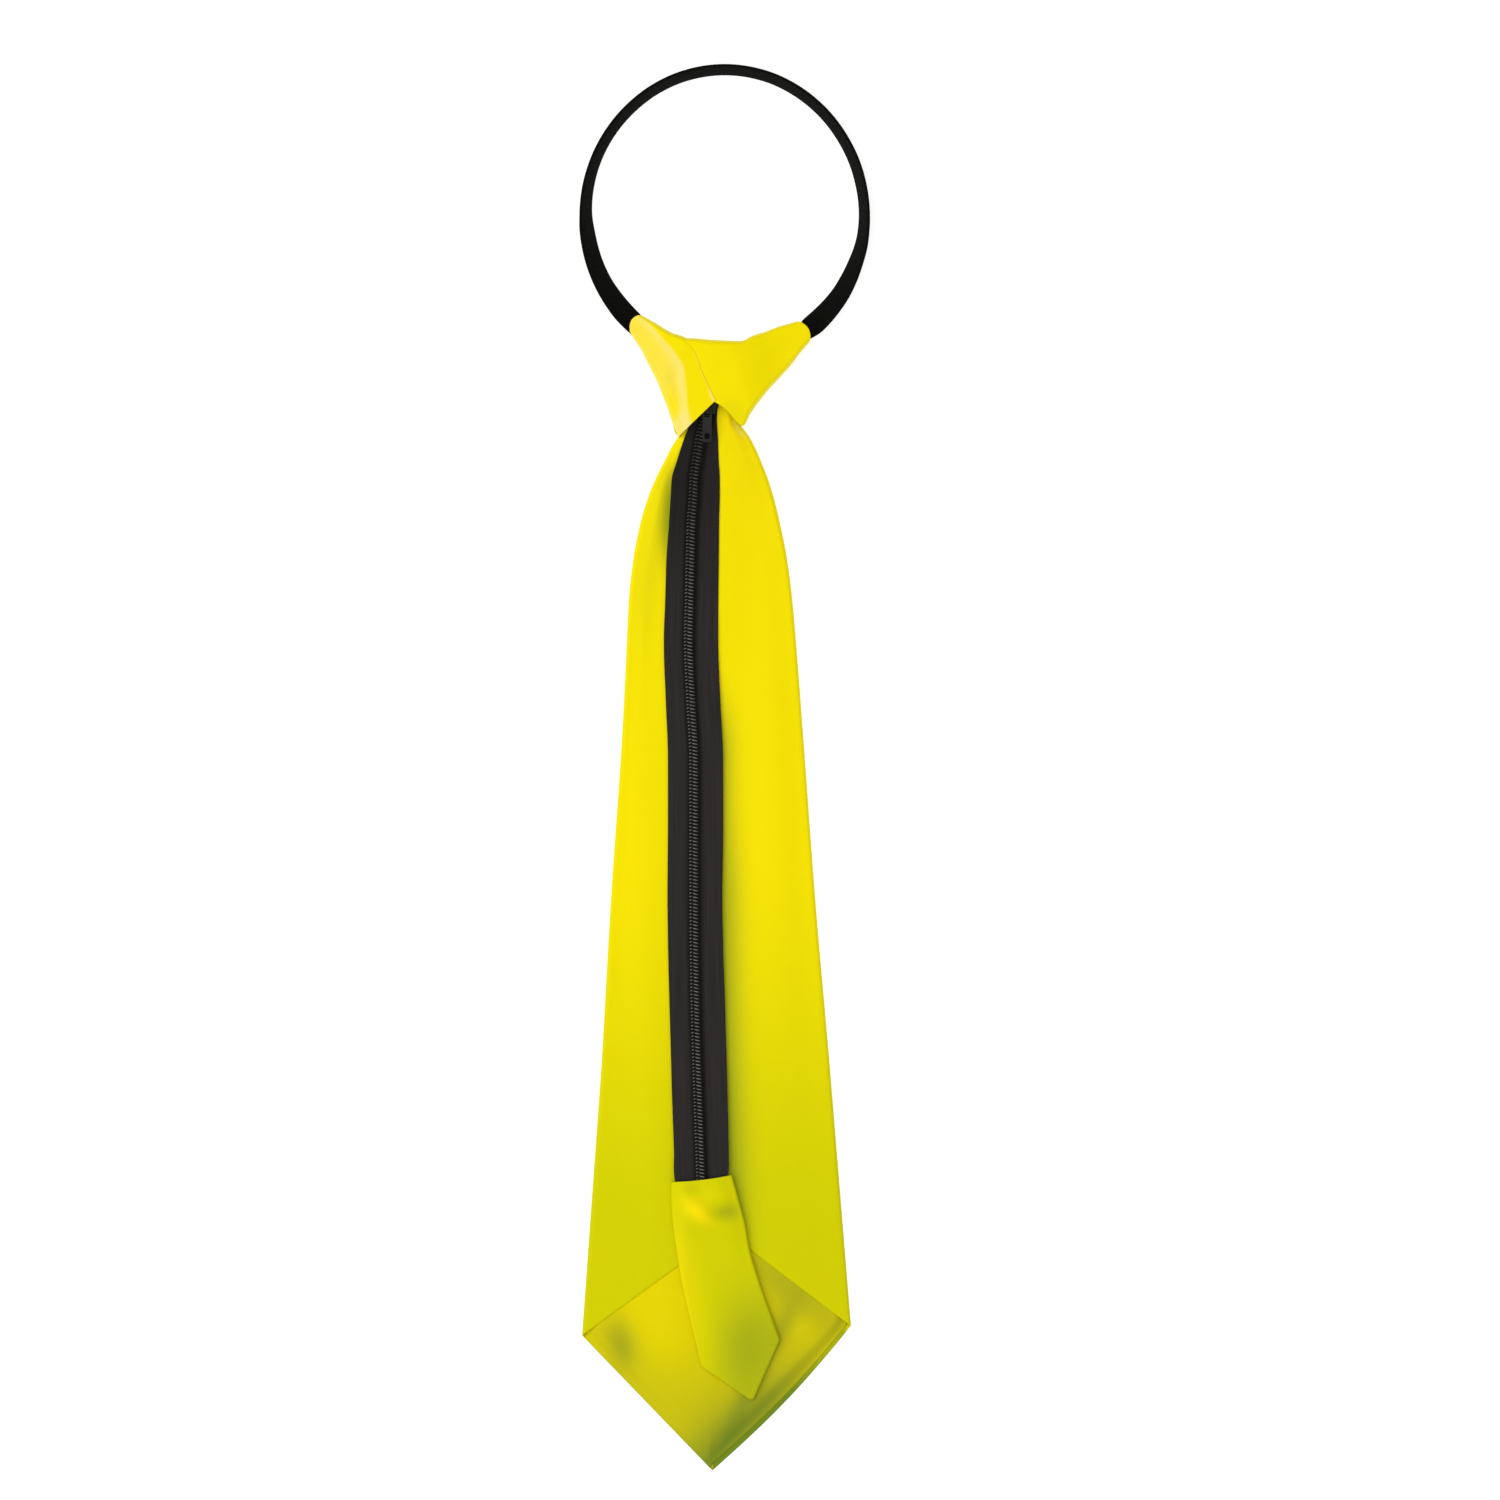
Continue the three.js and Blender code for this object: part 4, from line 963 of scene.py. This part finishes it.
def specks_group():
    """A noise over the place, and a dark and a light colour mixed by it."""
    group, taken, given = effect_group(
        "worn_specks",
        {"Place": "Vector", "Scale": "Float", "Detail": "Float", "Dark": "Color", "Light": "Color"},
        {"Colour": "Color", "Speck": "Float"})
    speck = add(group, "TexNoise", {"Vector": taken["Place"], "Scale": taken["Scale"],
                                    "Detail": taken["Detail"]})[0]
    feed(group, given["Colour"], mixed(group, speck, taken["Dark"], taken["Light"]))
    feed(group, given["Speck"], speck)
    return group


worn_specks = specks_group()


def specks_on(tree, scale, detail, dark, light):
    """The specks over the piece's own Object coordinates."""
    return add(tree, "Group", {"Place": add(tree, "TexCoord")["Object"], "Scale": scale,
                               "Detail": detail, "Dark": dark, "Light": light},
               node_tree=worn_specks)


zip_tape_black = woven_black("zip_tape_black", (0.012, 0.0105, 0.010), (0.034, 0.029, 0.028),
                             roughness=0.7, gloss=0.12, weave=(800, 1100, (1500, 25, 1)), depth=0.08)
elastic_black = woven_black("elastic_black", (0.002, 0.002, 0.0016), (0.008, 0.008, 0.006),
                            roughness=0.8, gloss=0.02, weave=(900, 600, (200, 1200, 1)), depth=0.1)
nylon_black, tree, surface = finish_of("nylon_black", (0.05, 0.047, 0.044), 0.3,
                                       Specular_IOR_Level=0.2)
nylon = specks_on(tree, 900, 2, (0.12, 0.115, 0.108), (0.26, 0.248, 0.232))["Colour"]
# The coils' shade attribute paints shade over the nylon, leaving the painted glints.
feed(tree, surface["Base Color"], mixed(tree, shade_on(tree), nylon, PAINTED_SHADE_BLACK))
print("black finishes:", zip_tape_black.name, elastic_black.name, nylon_black.name)

# %% Tapes
TAPE_TOP = 0.65
TAPE_THICK = 0.4
TAPE_SLIT = 0.12
LIFT_POWER = 1.8
CHAIN_REACH = 2.6
SIDES = ((-1, "left"), (1, "right"))
TAPE_END = "inner_x inner_y inner_z outer_x outer_y outer_z"
TAPE_ENDS = {
    -1: table(TAPE_END, [
        (-10.5, 165, 9.5, -16.5, 164, 12.5), (-15, 171.5, 7, -21, 169.5, 13),
        (-22, 177.5, 5, -25.5, 174.8, 12.8), (-28.3, 184, 4, -29.6, 181, 12.5)]),
    1: table(TAPE_END, [
        (-4, 165, 9.5, 1.4, 163.6, 12.5), (2.5, 171.5, 7, 7.5, 169, 13),
        (12.5, 177.5, 5, 14.8, 174.8, 12.8), (26.6, 183.6, 4, 27.6, 180.6, 12.5)])}


def tape_at(y, side):
    """The zip's middle, how far one side's tape reaches from it, its height and its edge's lift."""
    name = dict(SIDES)[side]
    return zip_at(y, f"middle {name} z {name}_lift")


def tape_grid(side, rows=260, columns=25):
    """Inner edge to outer edge along the zip, lifted by a power of the way across, then on
    through the ends inside the knot."""
    y = np.linspace(ZIP["y"][0], ZIP["y"][-1], rows)[:, None]
    middle, reach, z, lift = tape_at(y, side)
    across = np.linspace(0, 1, columns)[None, :]
    inner = TAPE_SLIT + zip_at(y, "parted")[0]
    x = middle + side * (inner + (reach - inner) * across)
    up = z + TAPE_TOP + lift * across ** LIFT_POWER
    closed = np.stack([x, np.broadcast_to(y, x.shape), up], -1)
    ends = TAPE_ENDS[side]
    inner_end, outer_end = (np.stack([ends[f"{edge}_{axis}"] for axis in "xyz"], -1)[:, None, :]
                            for edge in ("inner", "outer"))
    hidden = inner_end + (outer_end - inner_end) * across[..., None]
    hidden[..., 2] += TAPE_TOP / 2
    return np.concatenate([closed, hidden])


for side, name in SIDES:
    points = tape_grid(side)
    # Painted shade under and beside the chain, and painted shade from the knot on the tape's upper
    # end.
    from_chain = np.abs(points[..., 0] - zip_at(points[..., 1], "middle")[0])
    painted_shade_by_chain = np.where(from_chain < CHAIN_REACH, 1.15, ridge(from_chain - CHAIN_REACH, 1))
    painted_shade_by_chain = np.clip(0.8 * painted_shade_by_chain + 0.4 * step_up(points[..., 1], 60, 125), 0, 1)
    tape = grid_piece(f"zip_tape_{name}_woven", points, zip_tape_black, painted_shade_by_chain, TAPE_THICK,
                      flip=side > 0)
    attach(tape, "tie")
    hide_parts(f"zip_tape_{name}")

# %% [markdown]
# A tube needs a line to follow and a ring round it. The ring's first direction is square to the
# line and as near to straight up as it can be, and the second is square to both.

# %% Tubes along a line
def tube(line, radius, sides):
    """Grid of points round a line of points: the line plus a circle in the plane square to it."""
    along = unit(np.gradient(line, axis=0))
    flat = unit(np.cross(along, [0.0, 0.0, 1.0]))
    upright = np.cross(flat, along)
    turn = np.linspace(0, 2 * np.pi, sides, endpoint=False)[None, :, None]
    return line[:, None] + radius * (flat[:, None] * np.cos(turn) + upright[:, None] * np.sin(turn))


# %% Coils
COIL_PITCH = 1.5
COIL_HALF_WIDE = 1.4
COIL_HALF_HIGH = 0.45
COIL_THREAD = 0.25
COIL_SQUARE = 0.6
COIL_MIDDLE = 0.7
COIL_STEPS = 12
# Where on each coil's bends the painted glints lie, as a range of the cosine of the turn.
PAINTED_GLINT_BEND = {-1: (0.35, 0.8), 1: (-0.5, 0.0)}
COIL_LOW_Y = -191.0
COIL_HIGH_Y = 159.0


def coil_turns():
    """Angles from one end of a coil to the other, a fixed number to a turn."""
    count = (COIL_HIGH_Y - COIL_LOW_Y) / COIL_PITCH
    return np.linspace(0, count, int(count * COIL_STEPS)) * 2 * np.pi


def coil_line(side, turn):
    """A flat spiral: y grows by one pitch a turn, and x and z go round an ellipse beside the middle.
    A power of the sine below 1 squares the ellipse, as a coil's bends are when it is pressed."""
    y = COIL_LOW_Y + COIL_PITCH * (turn / (2 * np.pi) + (0.5 if side > 0 else 0.0))
    middle, z, parted = zip_at(y, "middle z parted")
    x = middle + side * (COIL_MIDDLE + parted + COIL_HALF_WIDE * np.cos(turn))
    rise = np.sign(np.sin(turn)) * np.abs(np.sin(turn)) ** COIL_SQUARE
    up = z + TAPE_TOP + COIL_THREAD + COIL_HALF_HIGH * (1 + rise)
    return np.stack([x, y, up], -1)


for side, name in SIDES:
    turn = coil_turns()
    # Painted glints on the upper passes where the bends face left, towards the lamp, fewer near the
    # knot; the rest is painted shade.
    painted_glint = step_up(np.sin(turn), -0.5, 0) * step_up(-side * np.cos(turn), *PAINTED_GLINT_BEND[side])
    line = coil_line(side, turn)
    painted_glint = painted_glint * (1 - 0.65 * step_up(line[:, 1], 70, 140))
    threads = tube(line, COIL_THREAD, 5)
    painted_coil_shade = np.broadcast_to(1 - painted_glint[:, None], threads.shape[:2])
    coil = grid_piece(f"zip_coil_{name}_spiral", threads, nylon_black, painted_coil_shade, closed=True)
    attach(coil, "tie")
    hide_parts(f"zip_coil_{name}")

# %% Stitches that hold the tapes
STITCH_PITCH = 3.0
STITCH_LENGTH = 2.2
STITCH_RADIUS = 0.2
STITCH_ARCH = 0.16
STITCH_SINK = 0.08
STITCH_FROM_EDGE = 1.5
STITCH_LOW_Y = -172
STITCH_HIGH_Y = 128
STITCH_ROWS = ((-1, 5.4), (1, 6.6))


def stitches(side, from_middle):
    """One short arched tube for each stitch, all in one array of stitch, along, round and xyz."""
    start = np.arange(STITCH_LOW_Y, STITCH_HIGH_Y, STITCH_PITCH)[:, None]
    share = np.linspace(0, 1, 6)[None, :]
    y = start + STITCH_LENGTH * share
    middle, reach, z, lift = tape_at(y, side)
    x = middle + side * np.minimum(from_middle, reach - STITCH_FROM_EDGE)
    up = z + TAPE_TOP + lift * (np.abs(x - middle) / reach) ** LIFT_POWER
    up += STITCH_ARCH * np.sin(np.pi * share) - STITCH_SINK
    turn = np.linspace(0, 2 * np.pi, 5, endpoint=False)
    line = np.stack([x, y, up], -1)[:, :, None, :]
    ring = STITCH_RADIUS * np.stack([np.cos(turn), 0 * turn, np.sin(turn)], -1)
    return line + ring * np.sin(np.pi * (0.08 + 0.84 * share))[..., None, None]


def many_tubes(name, tubes, material):
    """All tubes of an array (tube, along, round, xyz) as one mesh, each closed at both ends."""
    index = np.arange(tubes[..., 0].size).reshape(tubes.shape[:3])
    caps = np.concatenate([index[:, 0, ::-1], index[:, -1]]).tolist()
    index = np.concatenate([index, index[:, :, :1]], axis=2)
    print(f"{name}: {len(tubes)} of them")
    return mesh_piece(name, tubes * MM, cell_faces(index) + caps, material)


tape_stitches = np.concatenate([stitches(side, way) for side, way in STITCH_ROWS])
sewing = many_tubes("zip_stitches", tape_stitches, nylon_black)
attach(sewing, "tie")

# %% [markdown]
# ## Slider and pull
# The slider and its pull are hard parts, so the imported solids are right as they are. They get
# rounded edges and black enamel with fine specks all over it.

# %% Slider finish
enamel, tree, surface = finish_of("slider_enamel", (0.012, 0.012, 0.011), 0.4,
                                  Specular_IOR_Level=0.15)
specks = specks_on(tree, 700, 4, (0.006, 0.006, 0.005), (0.020, 0.020, 0.018))
feed(tree, surface["Base Color"], specks["Colour"])
bump_from(tree, surface, specks["Speck"], 0.03)
for node in ("slider_body", "slider_pull"):
    part_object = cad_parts[node]
    part_object.data.materials.clear()
    part_object.data.materials.append(enamel)
    weld = part_object.modifiers.new("weld", "WELD")
    weld.merge_threshold = 0.01 * MM
    bevel = part_object.modifiers.new("rounded_edges", "BEVEL")
    bevel.width = 0.22 * MM
    bevel.segments = 3
    bevel.limit_method = "ANGLE"
    bevel.angle_limit = np.radians(40)
    print(f"{node}: {len(part_object.data.polygons)} faces in {enamel.name}")

# %% [markdown]
# ## The neck loop
# The loop is a flat black elastic, 12 mm wide and just over 1 mm thick. It stands on its edge, and
# leans outwards more where it goes into the ears of the knot, so it looks wider there. Its section
# is a rounded rectangle carried round the loop; both ends run on into the knot.

# %% Neck band
BAND_WIDE = 12.0
BAND_THICK = 1.2
LOOP_MIDDLE_Y = 238.4
BAND_CORNER = 0.3
BAND = table("angle radius seen base", [
    (-61, 62.4, 6.8, 2.5), (-57, 62.2, 7.8, 2.4), (-54.5, 61.8, 9.2, 2), (-51, 61.75, 9.8, 1.8),
    (-47, 61.55, 9.55, 1.5), (-41, 61.3, 8.9, 0.8), (-35, 61.1, 8.3, 0.3), (-29, 60.75, 7.7, 0),
    (-20, 60.45, 6.6, 0), (-14, 60.5, 5.9, 0), (-8, 60.35, 5.25, 0), (4, 60, 4.8, 0),
    (14, 59.8, 4.75, 0), (28, 59.78, 4.62, 0), (46, 60.15, 4.5, 0), (60, 60.56, 4.45, 0),
    (72, 60.93, 4.35, 0), (90, 61.1, 4.35, 0), (106, 60.9, 4.35, 0), (120, 60.52, 4.4, 0),
    (131, 60.12, 4.45, 0), (150, 59.72, 4.55, 0), (168, 59.58, 4.95, 0), (180, 59.6, 5.5, 0),
    (189, 59.6, 6.8, 0), (201, 60, 7.65, 0), (210, 60.4, 8.3, 0.2), (219, 60.8, 9.15, 0.9),
    (225, 61.2, 9.6, 1.5), (230, 61.5, 9.6, 1.8), (233, 61.9, 9, 2.1), (236, 62.4, 7.4, 2.4),
    (240, 62.6, 6.8, 2.5)])


def band_profile(corner_steps=4):
    """A rectangle of the band's width and thickness with four round corners, once round."""
    turn = np.linspace(0, np.pi / 2, corner_steps + 1)
    quarter = np.radians([0, 90, 180, 270])[:, None] + turn
    side_thick = np.array([1, -1, -1, 1])[:, None] * (BAND_THICK / 2 - BAND_CORNER)
    side_wide = np.array([1, 1, -1, -1])[:, None] * (BAND_WIDE / 2 - BAND_CORNER)
    return ((side_thick + BAND_CORNER * np.cos(quarter)).reshape(1, -1),
            (side_wide + BAND_CORNER * np.sin(quarter)).reshape(1, -1))


def band_grid(rows=300):
    """A rounded rectangle at each angle of the loop, turned outwards by its lean. The lean follows
    from how wide the band looks from above: asin(seen / diagonal) less the diagonal's own angle."""
    angle = np.linspace(BAND["angle"][0], BAND["angle"][-1], rows)[:, None]
    radius, seen, base = curves(angle, BAND["angle"], BAND, "radius seen base")
    lean = np.arcsin(seen / np.hypot(BAND_WIDE, BAND_THICK)) - np.arctan2(BAND_THICK, BAND_WIDE)
    thick, wide = band_profile()
    out = thick * np.cos(lean) + wide * np.sin(lean)
    up = wide * np.cos(lean) - thick * np.sin(lean)
    middle_z = base + (BAND_WIDE * np.cos(lean) + BAND_THICK * np.sin(lean)) / 2
    way = np.radians(angle)
    return np.stack([(radius + out) * np.cos(way), LOOP_MIDDLE_Y + (radius + out) * np.sin(way),
                     middle_z + up], -1)


points = band_grid()
band = grid_piece("neck_band_elastic", points, elastic_black, closed=True)
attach(band, "tie")
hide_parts("neck_band")
